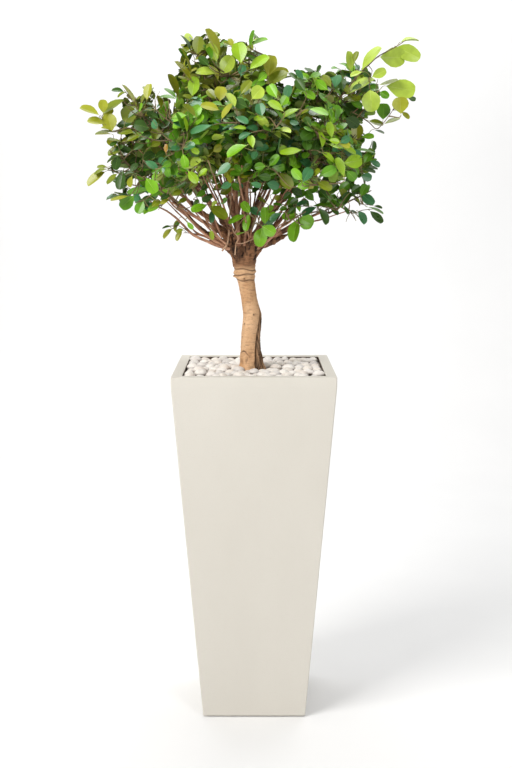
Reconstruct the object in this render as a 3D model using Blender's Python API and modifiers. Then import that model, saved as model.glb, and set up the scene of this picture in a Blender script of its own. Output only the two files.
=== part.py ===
"""Potted ficus: a small-leaved standard ficus in a tall tapered square planter.

Units are metres and +Z is up. The origin is the centre of the planter's flat underside,
the planter's front faces -Y, and the crown spreads mostly along X.
Each limb and each mass of foliage is an object of its own.
"""
import math
import random

import bmesh
import bpy
from mathutils import Matrix, Vector
from mathutils.bvhtree import BVHTree

CLEAR = 0.0003  # gap between neighbouring solids
SHARP_ANGLE = math.radians(50.0)

# Planter: a tapered square shell with an upright band round its rim.
PLANTER_HEIGHT = 0.900
PLANTER_TOP = 0.400
PLANTER_FOOT = 0.264
BAND_HEIGHT = 0.024
RIM_WIDTH = 0.0256
LIP_DEPTH = 0.045
WALL = 0.010
FLOOR = 0.020
EDGE_EASE = 0.002

# Filling: soil up to the underside of the lip, and a layer of pebbles on it.
GROUND = PLANTER_HEIGHT - LIP_DEPTH
PEBBLE_SLAB = 0.018
PEBBLE_PITCH = 0.0345
PEBBLE_RADII = (0.0172, 0.0155, 0.0140)
PEBBLE_SINK = 0.0030
PEBBLE_JITTER = 0.0025
PEBBLE_OFF_WALL = 0.0011
TRUNK_HOLE = 0.047

# Trunk: height above the ground, sideways offset and radius up to the graft collar.
TRUNK_ROWS = (
    (0.000, 0.0000, 0.0385),
    (0.025, -0.0040, 0.0345),
    (0.052, -0.0080, 0.0285),
    (0.085, -0.0092, 0.0258),
    (0.130, -0.0088, 0.0235),
    (0.178, -0.0054, 0.0225),
    (0.218, -0.0130, 0.0203),
    (0.252, -0.0185, 0.0212),
    (0.272, -0.0228, 0.0225),
    (0.284, -0.0240, 0.0262),
    (0.297, -0.0245, 0.0250),
    (0.310, -0.0245, 0.0305),
)
TRUNK_SIDES = 14
FLARE_TOP = 0.085
FLARE_LOBES = 0.13
FLARE_TURN = 0.6
GROOVE_SIDE = 12
GROOVE_DEPTH = 0.0050
GROOVE_SPAN = (0.020, 0.165)
HEAD = Vector((-0.0250, 0.0, GROUND + 0.340))
HEAD_RADIUS = 0.042
HEAD_RINGS = (-25.0, 0.0, 24.0, 46.0, 66.0, 82.0)

# Boughs: one for each mass of foliage.
BOUGH_TIP = 0.0030
BOUGH_BASE = 0.0054
BOUGH_BASE_PER_LENGTH = 0.0056
BOUGH_POINTS = 7
BOUGH_LEAD = 0.010
BOUGH_TAPER = 0.6
BOUGH_RISE = 0.12
BOUGH_HANDLE = 0.26
ANCHOR_SPACING = math.radians(23.0)
ANCHOR_LOWEST = math.radians(20.0)
ANCHOR_ROUNDS = 400
ANCHOR_PUSH = 0.3
ENTRY_DEPTH = 0.015
BOUGH_GIRTHS = {
    "dome_mid": 1.30,
    "side_right": 1.25,
    "low_right": 1.20,
    "side_left": 1.20,
    "low_left": 1.10,
}

# Foliage: each mass keeps to a boxy ellipsoid, cut off where it meets its neighbours.
SPACE_GAP = 0.0016
SPACE_POWER = 2.25  # over 2 is boxier than an ellipsoid
LIMB_GUARD = 0.0010
GOLDEN_ANGLE = math.radians(137.5)

STEM_RADIUS = 0.0032
STEM_LEAD = 0.006
STEM_REACH = 0.55  # share of the way from the middle of the space to its far side
TWIG_RADIUS = 0.0027
TWIG_TIP = 0.0019
TWIG_VOLUME = 0.00055  # ellipsoid volume that one twig fills
TWIGS_MIN_MAX = (4, 9)
TWIG_FIRST_LAST = (0.10, 0.92)  # shares of the stem
TWIG_LEAN_FIRST_LAST = (84.0, 47.0)  # degrees off the stem
TWIG_SHORTEST = 0.012
TWIG_STOPS_SHORT = 0.85  # leaf lengths between the twig's end and the side of the space
TWIG_LEAST_SHARE = 0.35  # of the way to that side, where a whole leaf has no room
TWIG_SWING = 0.3
LEAF_ROW_SWING = 0.5

LEAF_LENGTH = 0.072
LEAF_WIDTH = 0.056
LEAF_THICKNESS = 0.0026
LEAF_TIP_WIDTH = 0.62
LEAF_THICKEST = 0.42  # share of the length
LEAF_TAPER = 0.72
LEAF_DROOP = 0.05
LEAF_SINK = 0.0003
LEAF_SPACING = 0.048
LEAF_SPLAY = math.radians(51.0)  # off the twig
LEAF_UPWARD = 0.40  # how far each of these three turns a leaf's face
LEAF_OUTWARD = 0.50
LEAF_SWAY = 0.55
LEAF_TURN = 0.85  # how far a leaf swings round to lie square to its facing
LEAF_SCATTER = 0.16
LEAF_SCATTER_STEP = 0.06  # more with each try
LEAF_SIZES = (0.90, 1.12)
LEAF_SIZE_STEP = 0.02  # less with each try
LEAF_TRIES = 14
FULL_LEAF_VOLUME = 0.0034  # a smaller space gets smaller leaves
CROWN_MIDDLE = Vector((-0.02, 0.0, 1.40))

# Name: centre of the space, then its half-sizes.
MASSES = {
    "dome_left": ((-0.124, -0.030, 1.634), (0.076, 0.135, 0.104)),
    "dome_mid": ((-0.012, -0.045, 1.628), (0.072, 0.130, 0.104)),
    "dome_back": ((-0.080, 0.165, 1.590), (0.140, 0.125, 0.110)),
    "upper_right": ((0.118, -0.040, 1.548), (0.108, 0.150, 0.094)),
    "right_shoulder": ((0.234, 0.010, 1.566), (0.092, 0.130, 0.094)),
    "sprig_right": ((0.334, -0.030, 1.618), (0.082, 0.085, 0.114)),
    "upper_left": ((-0.262, -0.020, 1.514), (0.112, 0.145, 0.090)),
    "tip_left": ((-0.376, -0.010, 1.542), (0.060, 0.065, 0.054)),
    "front_left": ((-0.160, -0.200, 1.450), (0.130, 0.115, 0.122)),
    "front_mid": ((-0.010, -0.215, 1.455), (0.110, 0.115, 0.124)),
    "front_right": ((0.136, -0.195, 1.430), (0.116, 0.115, 0.116)),
    "side_right": ((0.202, -0.020, 1.430), (0.106, 0.145, 0.110)),
    "side_left": ((-0.300, 0.000, 1.398), (0.100, 0.140, 0.092)),
    "back_left": ((-0.205, 0.195, 1.445), (0.135, 0.120, 0.115)),
    "back_mid": ((-0.020, 0.225, 1.460), (0.115, 0.110, 0.125)),
    "back_right": ((0.160, 0.190, 1.475), (0.125, 0.120, 0.125)),
    "inner_left": ((-0.110, 0.010, 1.450), (0.080, 0.085, 0.074)),
    "inner_right": ((0.055, 0.010, 1.440), (0.080, 0.085, 0.074)),
    "low_left": ((-0.230, -0.095, 1.345), (0.105, 0.105, 0.062)),
    "low_right": ((0.240, -0.035, 1.316), (0.084, 0.105, 0.058)),
    "low_front": ((0.006, -0.125, 1.282), (0.062, 0.070, 0.060)),
    "low_back": ((0.010, 0.145, 1.366), (0.130, 0.080, 0.052)),
    "sprig_front": ((0.098, -0.110, 1.276), (0.046, 0.055, 0.054)),
    "hanging_sprig": ((-0.205, -0.035, 1.246), (0.046, 0.048, 0.036)),
}

# Name: base colour, roughness.
FINISHES = {
    "planter_cream": ((0.79, 0.74, 0.65), 0.62),
    "potting_soil": ((0.060, 0.042, 0.030), 0.95),
    "white_pebble": ((0.86, 0.81, 0.76), 0.50),
    "ficus_bark": ((0.50, 0.29, 0.15), 0.85),
    "ficus_stem": ((0.24, 0.12, 0.065), 0.80),
    "ficus_leaf": ((0.085, 0.230, 0.035), 0.42),
}


def clear_scene():
    for obj in list(bpy.data.objects):
        bpy.data.objects.remove(obj, do_unlink=True)


def new_collection(name):
    collection = bpy.data.collections.new(name)
    bpy.context.scene.collection.children.link(collection)
    return collection


def finish(name):
    """The Principled material of this name, made once."""
    material = bpy.data.materials.get(name)
    if material:
        return material
    colour, roughness = FINISHES[name]
    material = bpy.data.materials.new(name)
    material.use_nodes = True
    shader = material.node_tree.nodes["Principled BSDF"]
    shader.inputs["Base Color"].default_value = (*colour, 1.0)
    shader.inputs["Roughness"].default_value = roughness
    shader.inputs["Metallic"].default_value = 0.0
    return material


def add_object(name, data, material, collection):
    obj = bpy.data.objects.new(name, data)
    data.materials.append(finish(material))
    collection.objects.link(obj)
    return obj


def face_outwards(bm):
    bmesh.ops.recalc_face_normals(bm, faces=bm.faces)
    if bm.calc_volume(signed=True) < 0.0:
        bmesh.ops.reverse_faces(bm, faces=bm.faces)


def object_from_bmesh(name, bm, material, collection):
    mesh = bpy.data.meshes.new(name)
    face_outwards(bm)
    bm.to_mesh(mesh)
    bm.free()
    return add_object(name, mesh, material, collection)


def shade_round(obj):
    obj.data.shade_smooth()
    obj.data.set_sharp_from_angle(angle=SHARP_ANGLE)


def apply_modifiers(obj):
    """Replaces the object's mesh with its evaluated one and removes the modifiers."""
    graph = bpy.context.evaluated_depsgraph_get()
    baked = bpy.data.meshes.new_from_object(obj.evaluated_get(graph))
    obj.modifiers.clear()
    obj.data = baked


def square_frustum(name, low_side, low_z, high_side, high_z, material, collection):
    """A four-sided cone between two level squares given by their sides."""
    bm = bmesh.new()
    half_diagonal = math.sqrt(0.5)
    turn = Matrix.Rotation(math.radians(45.0), 4, "Z")
    bmesh.ops.create_cone(
        bm,
        cap_ends=True,
        segments=4,
        radius1=low_side * half_diagonal,
        radius2=high_side * half_diagonal,
        depth=high_z - low_z,
        matrix=Matrix.Translation((0.0, 0.0, (low_z + high_z) / 2)) @ turn,
    )
    return object_from_bmesh(name, bm, material, collection)


def as_cutter(obj):
    obj.hide_render = True
    obj.display_type = "WIRE"
    return obj


def cut(obj, cutter):
    modifier = obj.modifiers.new("cut_" + cutter.name, "BOOLEAN")
    modifier.operation = "DIFFERENCE"
    modifier.solver = "EXACT"
    modifier.object = cutter


def outer_side(z):
    """Side of the planter's outer square at this height."""
    band_foot = PLANTER_HEIGHT - BAND_HEIGHT
    share = min(z / band_foot, 1.0)
    return PLANTER_FOOT + (PLANTER_TOP - PLANTER_FOOT) * share


def make_planter(parts, cutters):
    band_foot = PLANTER_HEIGHT - BAND_HEIGHT
    shell = square_frustum("planter", PLANTER_FOOT, 0.0, PLANTER_TOP, band_foot, "planter_cream", parts)
    bm = bmesh.new()
    bm.from_mesh(shell.data)
    top = max(bm.faces, key=lambda face: face.calc_center_median().z)
    raised = bmesh.ops.extrude_face_region(bm, geom=[top])["geom"]
    corners = [item for item in raised if isinstance(item, bmesh.types.BMVert)]
    bmesh.ops.translate(bm, verts=corners, vec=(0.0, 0.0, BAND_HEIGHT))
    bmesh.ops.delete(bm, geom=[top], context="FACES")
    bm.to_mesh(shell.data)
    bm.free()
    ease = shell.modifiers.new("eased_edges", "BEVEL")
    ease.width = EDGE_EASE
    ease.segments = 1
    ease.limit_method = "ANGLE"
    ease.angle_limit = math.radians(40.0)
    low = outer_side(FLOOR) - 2 * WALL
    high = outer_side(GROUND) - 2 * WALL
    cavity = square_frustum("cavity", low, FLOOR, high, GROUND, "planter_cream", cutters)
    mouth_side = PLANTER_TOP - 2 * RIM_WIDTH
    above = PLANTER_HEIGHT + 0.05
    below = GROUND - 0.01
    mouth = square_frustum("mouth", mouth_side, below, mouth_side, above, "planter_cream", cutters)
    cut(shell, as_cutter(cavity))
    cut(shell, as_cutter(mouth))


def make_soil(parts):
    low_z = FLOOR + CLEAR
    high_z = GROUND - CLEAR
    low = outer_side(low_z) - 2 * WALL - 3 * CLEAR
    high = outer_side(high_z) - 2 * WALL - 3 * CLEAR
    square_frustum("soil", low, low_z, high, high_z, "potting_soil", parts)


def pebble_places():
    """Jittered rows of stones over the mouth, none of them under the trunk or in the rim."""
    draw = random.Random(11)
    half = PLANTER_TOP / 2 - RIM_WIDTH
    across = int(2 * half / PEBBLE_PITCH)
    step = 2 * half / across
    limit = half - PEBBLE_RADII[0] - PEBBLE_OFF_WALL
    for row in range(across):
        for column in range(across):
            x = -half + (column + 0.5) * step + draw.uniform(-PEBBLE_JITTER, PEBBLE_JITTER)
            y = -half + (row + 0.5) * step + draw.uniform(-PEBBLE_JITTER, PEBBLE_JITTER)
            x = max(-limit, min(limit, x))
            y = max(-limit, min(limit, y))
            if math.hypot(x, y) < TRUNK_HOLE + PEBBLE_RADII[0] * 0.6:
                continue
            yield x, y, -draw.uniform(0.2, 1.0) * PEBBLE_SINK, draw.uniform(0.0, math.pi)


def make_pebble_bed(parts, cutters):
    """One layer of rounded stones fused to a thin bed, with a hole for the trunk."""
    side = PLANTER_TOP - 2 * RIM_WIDTH - 2 * CLEAR
    top = GROUND + PEBBLE_SLAB
    bed = square_frustum("pebble_bed", side, GROUND + CLEAR, side, top, "white_pebble", parts)
    stones = new_collection("stones")
    for index, (x, y, lift, turn) in enumerate(pebble_places()):
        bm = bmesh.new()
        size = Matrix.Diagonal((*PEBBLE_RADII, 1.0))
        place = Matrix.Translation((x, y, top + lift)) @ Matrix.Rotation(turn, 4, "Z")
        bmesh.ops.create_uvsphere(bm, u_segments=6, v_segments=4, radius=1.0, matrix=place @ size)
        object_from_bmesh(f"stone_{index}", bm, "white_pebble", stones)
    fuse(bed, stones)
    bm = bmesh.new()
    bmesh.ops.create_cone(
        bm,
        cap_ends=True,
        segments=16,
        radius1=TRUNK_HOLE,
        radius2=TRUNK_HOLE,
        depth=0.2,
        matrix=Matrix.Translation((0.0, 0.0, GROUND)),
    )
    cut(bed, as_cutter(object_from_bmesh("trunk_hole", bm, "white_pebble", cutters)))
    apply_modifiers(bed)
    keep_main_body(bed)
    shade_round(bed)


def loft(rings, bm):
    """Skins a stack of equal rings of points and caps both ends."""
    made = [[bm.verts.new(point) for point in ring] for ring in rings]
    count = len(made[0])
    for lower, upper in zip(made, made[1:]):
        for i in range(count):
            j = (i + 1) % count
            bm.faces.new((lower[i], lower[j], upper[j], upper[i]))
    bm.faces.new(list(reversed(made[0])))
    bm.faces.new(made[-1])


def trunk_ring(height, offset, radius):
    """One outline of the trunk: lobed at its root flare, grooved on its front right."""
    ring = []
    flare = max(0.0, 1.0 - height / FLARE_TOP)
    in_groove = GROOVE_SPAN[0] < height < GROOVE_SPAN[1]
    for side in range(TRUNK_SIDES):
        angle = 2 * math.pi * side / TRUNK_SIDES
        reach = radius * (1.0 + FLARE_LOBES * flare * math.cos(3 * angle + FLARE_TURN))
        if in_groove and side == GROOVE_SIDE:
            reach -= GROOVE_DEPTH
        ring.append((offset + reach * math.cos(angle), reach * math.sin(angle), GROUND + CLEAR + height))
    return ring


def head_ring(elevation):
    radius = HEAD_RADIUS * math.cos(math.radians(elevation))
    z = HEAD.z + HEAD_RADIUS * math.sin(math.radians(elevation))
    ring = []
    for side in range(TRUNK_SIDES):
        angle = 2 * math.pi * side / TRUNK_SIDES
        ring.append((HEAD.x + radius * math.cos(angle), HEAD.y + radius * math.sin(angle), z))
    return ring


def make_trunk(parts):
    """Root flare, leaning stem, graft collar and the knob that the boughs leave from."""
    bm = bmesh.new()
    rings = [trunk_ring(*row) for row in TRUNK_ROWS]
    rings += [head_ring(elevation) for elevation in HEAD_RINGS]
    loft(rings, bm)
    bmesh.ops.triangulate(bm, faces=bm.faces)
    trunk = object_from_bmesh("trunk", bm, "ficus_bark", parts)
    shade_round(trunk)
    return trunk


class Space:
    """The room of one mass: a boxy ellipsoid cut by planes between it and its neighbours."""

    def __init__(self, centre, half_sizes):
        self.centre = Vector(centre)
        self.half_sizes = Vector(half_sizes)
        self.planes = []

    def measure(self, offset):
        """How far out an offset from the centre lies: 1 on the surface."""
        parts = [abs(o) / h for o, h in zip(offset, self.half_sizes)]
        return sum(part ** SPACE_POWER for part in parts) ** (1.0 / SPACE_POWER)

    def reach(self, direction):
        """Distance from the centre to the surface along a unit vector."""
        return 1.0 / self.measure(direction)

    def part_from(self, other):
        """Adds the plane that keeps this space off another one."""
        across = other.centre - self.centre
        normal = across.normalized()
        mine = self.reach(normal)
        share = mine / (mine + other.reach(normal))
        self.planes.append((self.centre + across * share - normal * SPACE_GAP / 2, normal))

    def holds(self, point):
        if self.measure(point - self.centre) > 1.0:
            return False
        return all((point - spot).dot(normal) < 0.0 for spot, normal in self.planes)

    def way_out(self, start, direction, step=0.004):
        """How far one can go from a point inside before leaving the space."""
        distance = 0.0
        while self.holds(start + direction * (distance + step)):
            distance += step
        return distance

    def entry(self, source):
        """A point a little inside the side that faces the source."""
        towards = (self.centre - source).normalized()
        to_side = self.way_out(self.centre, -towards)
        return self.centre - towards * max(to_side - ENTRY_DEPTH, to_side * 0.5)

    def volume(self):
        return 4.0 / 3.0 * math.pi * self.half_sizes.x * self.half_sizes.y * self.half_sizes.z


def make_spaces():
    spaces = {name: Space(*sizes) for name, sizes in MASSES.items()}
    for name, space in spaces.items():
        for other_name, other in spaces.items():
            if other_name != name:
                space.part_from(other)
    return spaces


def spread(directions):
    """Unit vectors pushed apart over the head until each bough has room."""
    spots = [direction.normalized() for direction in directions]
    for _ in range(ANCHOR_ROUNDS):
        for i, first in enumerate(spots):
            push = Vector()
            for j, second in enumerate(spots):
                if i == j:
                    continue
                angle = first.angle(second, 0.0)
                if angle < ANCHOR_SPACING:
                    push += (first - second).normalized() * (ANCHOR_SPACING - angle)
            moved = (first + push * ANCHOR_PUSH).normalized()
            moved.z = max(moved.z, math.sin(ANCHOR_LOWEST))
            spots[i] = moved.normalized()
    return spots


def bezier(p0, p1, p2, p3, t):
    """A point of the cubic curve with these four control points."""
    s = 1.0 - t
    return p0 * s**3 + p1 * 3 * s * s * t + p2 * 3 * s * t * t + p3 * t**3


def bough_route(anchor, normal, entry):
    """Points of a limb that leaves the head square and rises into its mass."""
    length = (entry - anchor).length
    arrival = ((entry - anchor).normalized() + Vector((0.0, 0.0, BOUGH_RISE))).normalized()
    start = anchor + normal * BOUGH_LEAD
    end = entry - arrival * BOUGH_LEAD
    handle = length * BOUGH_HANDLE
    points = [anchor]
    for step in range(BOUGH_POINTS - 2):
        t = step / (BOUGH_POINTS - 3)
        points.append(bezier(start, start + normal * handle, end - arrival * handle, end, t))
    points.append(entry)
    return points


def tube(name, points, radii, material, collection):
    """A capped tapering tube on a poly spline."""
    curve = bpy.data.curves.new(name, "CURVE")
    curve.dimensions = "3D"
    curve.bevel_depth = 1.0
    curve.bevel_resolution = 1
    curve.use_fill_caps = True
    curve.twist_mode = "MINIMUM"
    spline = curve.splines.new("POLY")
    spline.points.add(len(points) - 1)
    for spot, point, radius in zip(spline.points, points, radii):
        spot.co = (*point, 1.0)
        spot.radius = radius
    return add_object(name, curve, material, collection)


def make_boughs(trunk, spaces, parts):
    """Tapering limbs from the head to the edge of each mass: name to route and radii."""
    head = BVHTree.FromBMesh(bmesh_of(trunk))
    names = list(spaces)
    aims = [spaces[name].entry(HEAD) - HEAD for name in names]
    routes = {}
    for name, spot in zip(names, spread(aims)):
        hit, normal, _, _ = head.ray_cast(HEAD + spot * HEAD_RADIUS * 2, -spot)
        anchor = hit + normal * CLEAR
        route = bough_route(anchor, normal, spaces[name].entry(HEAD))
        length = (route[-1] - route[0]).length
        base = (BOUGH_BASE + BOUGH_BASE_PER_LENGTH * length) * BOUGH_GIRTHS.get(name, 1.0)
        last = len(route) - 1
        radii = [base + (BOUGH_TIP - base) * (i / last) ** BOUGH_TAPER for i in range(last + 1)]
        tube("bough_" + name, route, radii, "ficus_stem", parts)
        routes[name] = (route, radii)
    return routes


def bmesh_of(obj):
    bm = bmesh.new()
    bm.from_mesh(obj.data)
    bmesh.ops.triangulate(bm, faces=bm.faces)
    return bm


def sweep(points, radii, sides, bm):
    """Lofts a polygon along a line of points, each ring square to the line there."""
    rings = []
    for i, (point, radius) in enumerate(zip(points, radii)):
        ahead = points[min(i + 1, len(points) - 1)]
        behind = points[max(i - 1, 0)]
        along = (ahead - behind).normalized()
        across = along.orthogonal().normalized()
        if rings:
            across = (last_across - along * last_across.dot(along)).normalized()
        last_across = across
        up = along.cross(across)
        ring = []
        for k in range(sides):
            angle = 2 * math.pi * k / sides
            ring.append(point + (across * math.cos(angle) + up * math.sin(angle)) * radius)
        rings.append(ring)
    loft(rings, bm)


def guards_of(trunk, routes):
    """Search trees of the trunk and of each limb, a little thicker than they are."""
    guards = {"trunk": BVHTree.FromBMesh(bmesh_of(trunk))}
    for name, (points, radii) in routes.items():
        bm = bmesh.new()
        sweep(points, [radius + LIMB_GUARD for radius in radii], 6, bm)
        bmesh.ops.triangulate(bm, faces=bm.faces)
        guards[name] = BVHTree.FromBMesh(bm)
        bm.free()
    return guards


def tree_of(bm):
    """Search tree of a shape, from a triangulated copy."""
    shape = bm.copy()
    bmesh.ops.triangulate(shape, faces=shape.faces)
    tree = BVHTree.FromBMesh(shape)
    shape.free()
    return tree


class Thicket:
    """The twigs and leaves of one mass as they are added, each off all that it must not touch."""

    def __init__(self, space, limbs):
        self.space = space
        self.limbs = limbs
        self.leaf_size = min(1.0, (space.volume() / FULL_LEAF_VOLUME) ** (1 / 3))
        self.shapes = []
        self.trees = []

    def add(self, bm, joined_to=None, own_limb=None):
        """Takes a shape that stays in the space and clear of the rest; gives its number or None."""
        tree = tree_of(bm)
        in_the_way = [limb for name, limb in self.limbs.items() if name != own_limb]
        in_the_way += [other for i, other in enumerate(self.trees) if i != joined_to]
        fits = all(self.space.holds(vert.co) for vert in bm.verts)
        if not fits or any(tree.overlap(other) for other in in_the_way):
            bm.free()
            return None
        self.shapes.append(bm)
        self.trees.append(tree)
        return len(self.shapes) - 1


def leaf_bmesh(root, axis, facing, size):
    """A flat double cone on five points, drawn out into a blunt leaf that widens to its tip."""
    bm = bmesh.new()
    bmesh.ops.create_uvsphere(bm, u_segments=5, v_segments=2, radius=1.0)
    side = facing.cross(axis).normalized()
    facing = axis.cross(side).normalized()
    farthest = 1.0 + math.cos(math.radians(36.0))
    for vert in bm.verts:
        across, back, z = vert.co
        along = LEAF_THICKEST if abs(z) > 0.5 else ((1.0 - back) / farthest) ** LEAF_TAPER
        wide = across * (LEAF_TIP_WIDTH if along > 0.9 else 1.0)
        droop = LEAF_DROOP * along * along
        vert.co = (
            root
            + axis * (along * LEAF_LENGTH * size)
            + side * (wide * LEAF_WIDTH * size / 2)
            + facing * (z * LEAF_THICKNESS / 2 - droop * LEAF_LENGTH * size)
        )
    face_outwards(bm)
    return bm


def tilted(direction, axis, angle):
    return Matrix.Rotation(angle, 3, axis) @ direction


def try_leaf(draw, root, outward, thicket, twig):
    """Adds one leaf at a root, turned until it is clear of the rest, or skips it."""
    from_middle = (root - CROWN_MIDDLE).normalized()
    for attempt in range(LEAF_TRIES):
        wobble = Vector([draw.gauss(0.0, 1.0) for _ in range(3)])
        sway = Vector([draw.gauss(0.0, 1.0) for _ in range(3)])
        facing = Vector((0.0, 0.0, LEAF_UPWARD)) + from_middle * LEAF_OUTWARD + sway * LEAF_SWAY
        facing.normalize()
        axis = outward + wobble * (LEAF_SCATTER + LEAF_SCATTER_STEP * attempt)
        axis = (axis - facing * axis.dot(facing) * LEAF_TURN).normalized()
        size = (draw.uniform(*LEAF_SIZES) - LEAF_SIZE_STEP * attempt) * thicket.leaf_size
        leaf = leaf_bmesh(root - axis * LEAF_SINK, axis, facing, size)
        if thicket.add(leaf, joined_to=twig) is not None:
            return


def dress_twig(draw, points, thicket, twig):
    """Leaves on alternate sides along a twig, and one that carries on from its end."""
    length = (points[-1] - points[0]).length
    direction = (points[-1] - points[0]).normalized()
    side = direction.cross(Vector((0.0, 0.0, 1.0)))
    if side.length < 0.2:
        side = direction.orthogonal()
    side = tilted(side.normalized(), direction, draw.uniform(-LEAF_ROW_SWING, LEAF_ROW_SWING))
    try_leaf(draw, points[-1], direction, thicket, twig)
    count = max(1, round(length / (LEAF_SPACING * thicket.leaf_size)))
    for i in range(count):
        share = (i + 0.7) / (count + 0.5)
        spot = along_line(points, share)
        turn = 1 if i % 2 else -1
        outward = direction * math.cos(LEAF_SPLAY) + side * turn * math.sin(LEAF_SPLAY)
        try_leaf(draw, spot, outward, thicket, twig)


def between(pair, share):
    return pair[0] + (pair[1] - pair[0]) * share


def along_line(points, share):
    """The point at this share of a line of points, counted by its stretches."""
    place = share * (len(points) - 1)
    first = min(int(place), len(points) - 2)
    return points[first].lerp(points[first + 1], place - first)


def grow_mass(name, space, route, limbs):
    """The closed shapes of one mass: its stem, its twigs and their leaves."""
    draw = random.Random(name)
    arrival = (route[-1] - route[-2]).normalized()
    foot = route[-1] + arrival * CLEAR
    knee = foot + arrival * STEM_LEAD
    onward = (space.centre - knee).normalized()
    middle = space.centre.lerp(knee, 0.2)
    end = space.centre + onward * space.way_out(space.centre, onward) * STEM_REACH
    stem_line = [foot, knee, middle, end]
    stem = bmesh.new()
    sweep(stem_line, [STEM_RADIUS, STEM_RADIUS, STEM_RADIUS * 0.85, TWIG_TIP], 3, stem)
    thicket = Thicket(space, limbs)
    stem_number = thicket.add(stem, own_limb=name)
    count = round(space.volume() / TWIG_VOLUME)
    count = max(TWIGS_MIN_MAX[0], min(TWIGS_MIN_MAX[1], count))
    twigs = [(stem_line[-2:], stem_number)]
    for i in range(count):
        share = i / (count - 1)
        start = along_line(stem_line[1:], between(TWIG_FIRST_LAST, share))
        azimuth = GOLDEN_ANGLE * i + draw.uniform(-TWIG_SWING, TWIG_SWING)
        lean = math.radians(between(TWIG_LEAN_FIRST_LAST, share))
        across = tilted(onward.orthogonal().normalized(), onward, azimuth)
        direction = (onward * math.cos(lean) + across * math.sin(lean)).normalized()
        room = space.way_out(start, direction)
        left_free = LEAF_LENGTH * thicket.leaf_size * TWIG_STOPS_SHORT
        length = max(room * TWIG_LEAST_SHARE, room - left_free)
        if length < TWIG_SHORTEST:
            continue
        points = [start, start + direction * length]
        twig = bmesh.new()
        sweep(points, [TWIG_RADIUS, TWIG_TIP], 3, twig)
        number = thicket.add(twig, joined_to=stem_number, own_limb=name)
        if number is not None:
            twigs.append((points, number))
    for points, number in twigs:
        dress_twig(draw, points, thicket, number)
    return thicket.shapes


def fuse(obj, collection):
    """Joins a collection's objects to this one for good, then removes them."""
    joined = None
    for solver in ("EXACT", "MANIFOLD"):
        modifier = obj.modifiers.new("fused", "BOOLEAN")
        modifier.operation = "UNION"
        modifier.operand_type = "COLLECTION"
        modifier.collection = collection
        modifier.solver = solver
        graph = bpy.context.evaluated_depsgraph_get()
        joined = bpy.data.meshes.new_from_object(obj.evaluated_get(graph))
        obj.modifiers.clear()
        if is_closed(joined):
            break
    obj.data = joined
    for piece in list(collection.objects):
        bpy.data.objects.remove(piece, do_unlink=True)
    bpy.data.collections.remove(collection)


def is_closed(mesh):
    bm = bmesh.new()
    bm.from_mesh(mesh)
    closed = all(edge.is_manifold for edge in bm.edges)
    bm.free()
    return closed


def keep_main_body(obj):
    """Drops every loose scrap and sealed hollow, so that one outer skin is left."""
    bm = bmesh.new()
    bm.from_mesh(obj.data)
    bmesh.ops.triangulate(bm, faces=bm.faces)
    unseen = set(bm.faces)
    shells = []
    while unseen:
        shell = {unseen.pop()}
        frontier = list(shell)
        while frontier:
            face = frontier.pop()
            for edge in face.edges:
                for neighbour in edge.link_faces:
                    if neighbour in unseen:
                        unseen.remove(neighbour)
                        shell.add(neighbour)
                        frontier.append(neighbour)
        shells.append(shell)
    shells.sort(key=len)
    loose = [face for shell in shells[:-1] for face in shell]
    bmesh.ops.delete(bm, geom=loose, context="FACES")
    spare = [vert for vert in bm.verts if not vert.link_faces]
    bmesh.ops.delete(bm, geom=spare, context="VERTS")
    bm.to_mesh(obj.data)
    bm.free()


def make_foliage(trunk, spaces, routes, parts):
    guards = guards_of(trunk, routes)
    for name, space in spaces.items():
        stem, *others = grow_mass(name, space, routes[name][0], guards)
        mass = object_from_bmesh("foliage_" + name, stem, "ficus_leaf", parts)
        pieces = new_collection("pieces_" + name)
        for index, bm in enumerate(others):
            object_from_bmesh(f"piece_{name}_{index}", bm, "ficus_leaf", pieces)
        fuse(mass, pieces)
        keep_main_body(mass)
        shade_round(mass)


def main():
    clear_scene()
    parts = new_collection("potted_ficus")
    cutters = new_collection("cutters")
    make_planter(parts, cutters)
    make_soil(parts)
    make_pebble_bed(parts, cutters)
    trunk = make_trunk(parts)
    spaces = make_spaces()
    routes = make_boughs(trunk, spaces, parts)
    make_foliage(trunk, spaces, routes, parts)


main()
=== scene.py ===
"""Dresses the potted ficus: planter, pebbles, bark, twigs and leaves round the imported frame.

Units are metres, +Z is up and the planter's front faces -Y, as in the frame.
"""
import math
import random

import bmesh
import bpy
import numpy as np
from mathutils import Matrix, Vector, noise
from mathutils.bvhtree import BVHTree
from mathutils.kdtree import KDTree


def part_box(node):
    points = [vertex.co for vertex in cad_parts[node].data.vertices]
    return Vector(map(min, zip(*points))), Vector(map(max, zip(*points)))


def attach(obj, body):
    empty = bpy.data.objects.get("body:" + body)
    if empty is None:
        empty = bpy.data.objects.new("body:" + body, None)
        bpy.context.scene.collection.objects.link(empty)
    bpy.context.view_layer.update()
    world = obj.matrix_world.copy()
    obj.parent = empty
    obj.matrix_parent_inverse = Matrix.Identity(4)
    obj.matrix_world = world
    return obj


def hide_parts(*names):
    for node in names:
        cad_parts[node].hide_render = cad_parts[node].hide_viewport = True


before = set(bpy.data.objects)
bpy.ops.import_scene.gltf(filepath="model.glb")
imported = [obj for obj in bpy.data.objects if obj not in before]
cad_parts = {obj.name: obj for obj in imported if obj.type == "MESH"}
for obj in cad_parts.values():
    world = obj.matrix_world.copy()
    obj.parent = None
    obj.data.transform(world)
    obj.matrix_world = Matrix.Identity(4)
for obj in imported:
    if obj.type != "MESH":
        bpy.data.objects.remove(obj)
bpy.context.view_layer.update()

FRAME_NODES = list(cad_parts)
BOUGH_NODES = [name for name in FRAME_NODES if name.startswith("bough_")]
FOLIAGE_NODES = [name for name in FRAME_NODES if name.startswith("foliage_")]
TAU = 2.0 * math.pi
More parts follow.
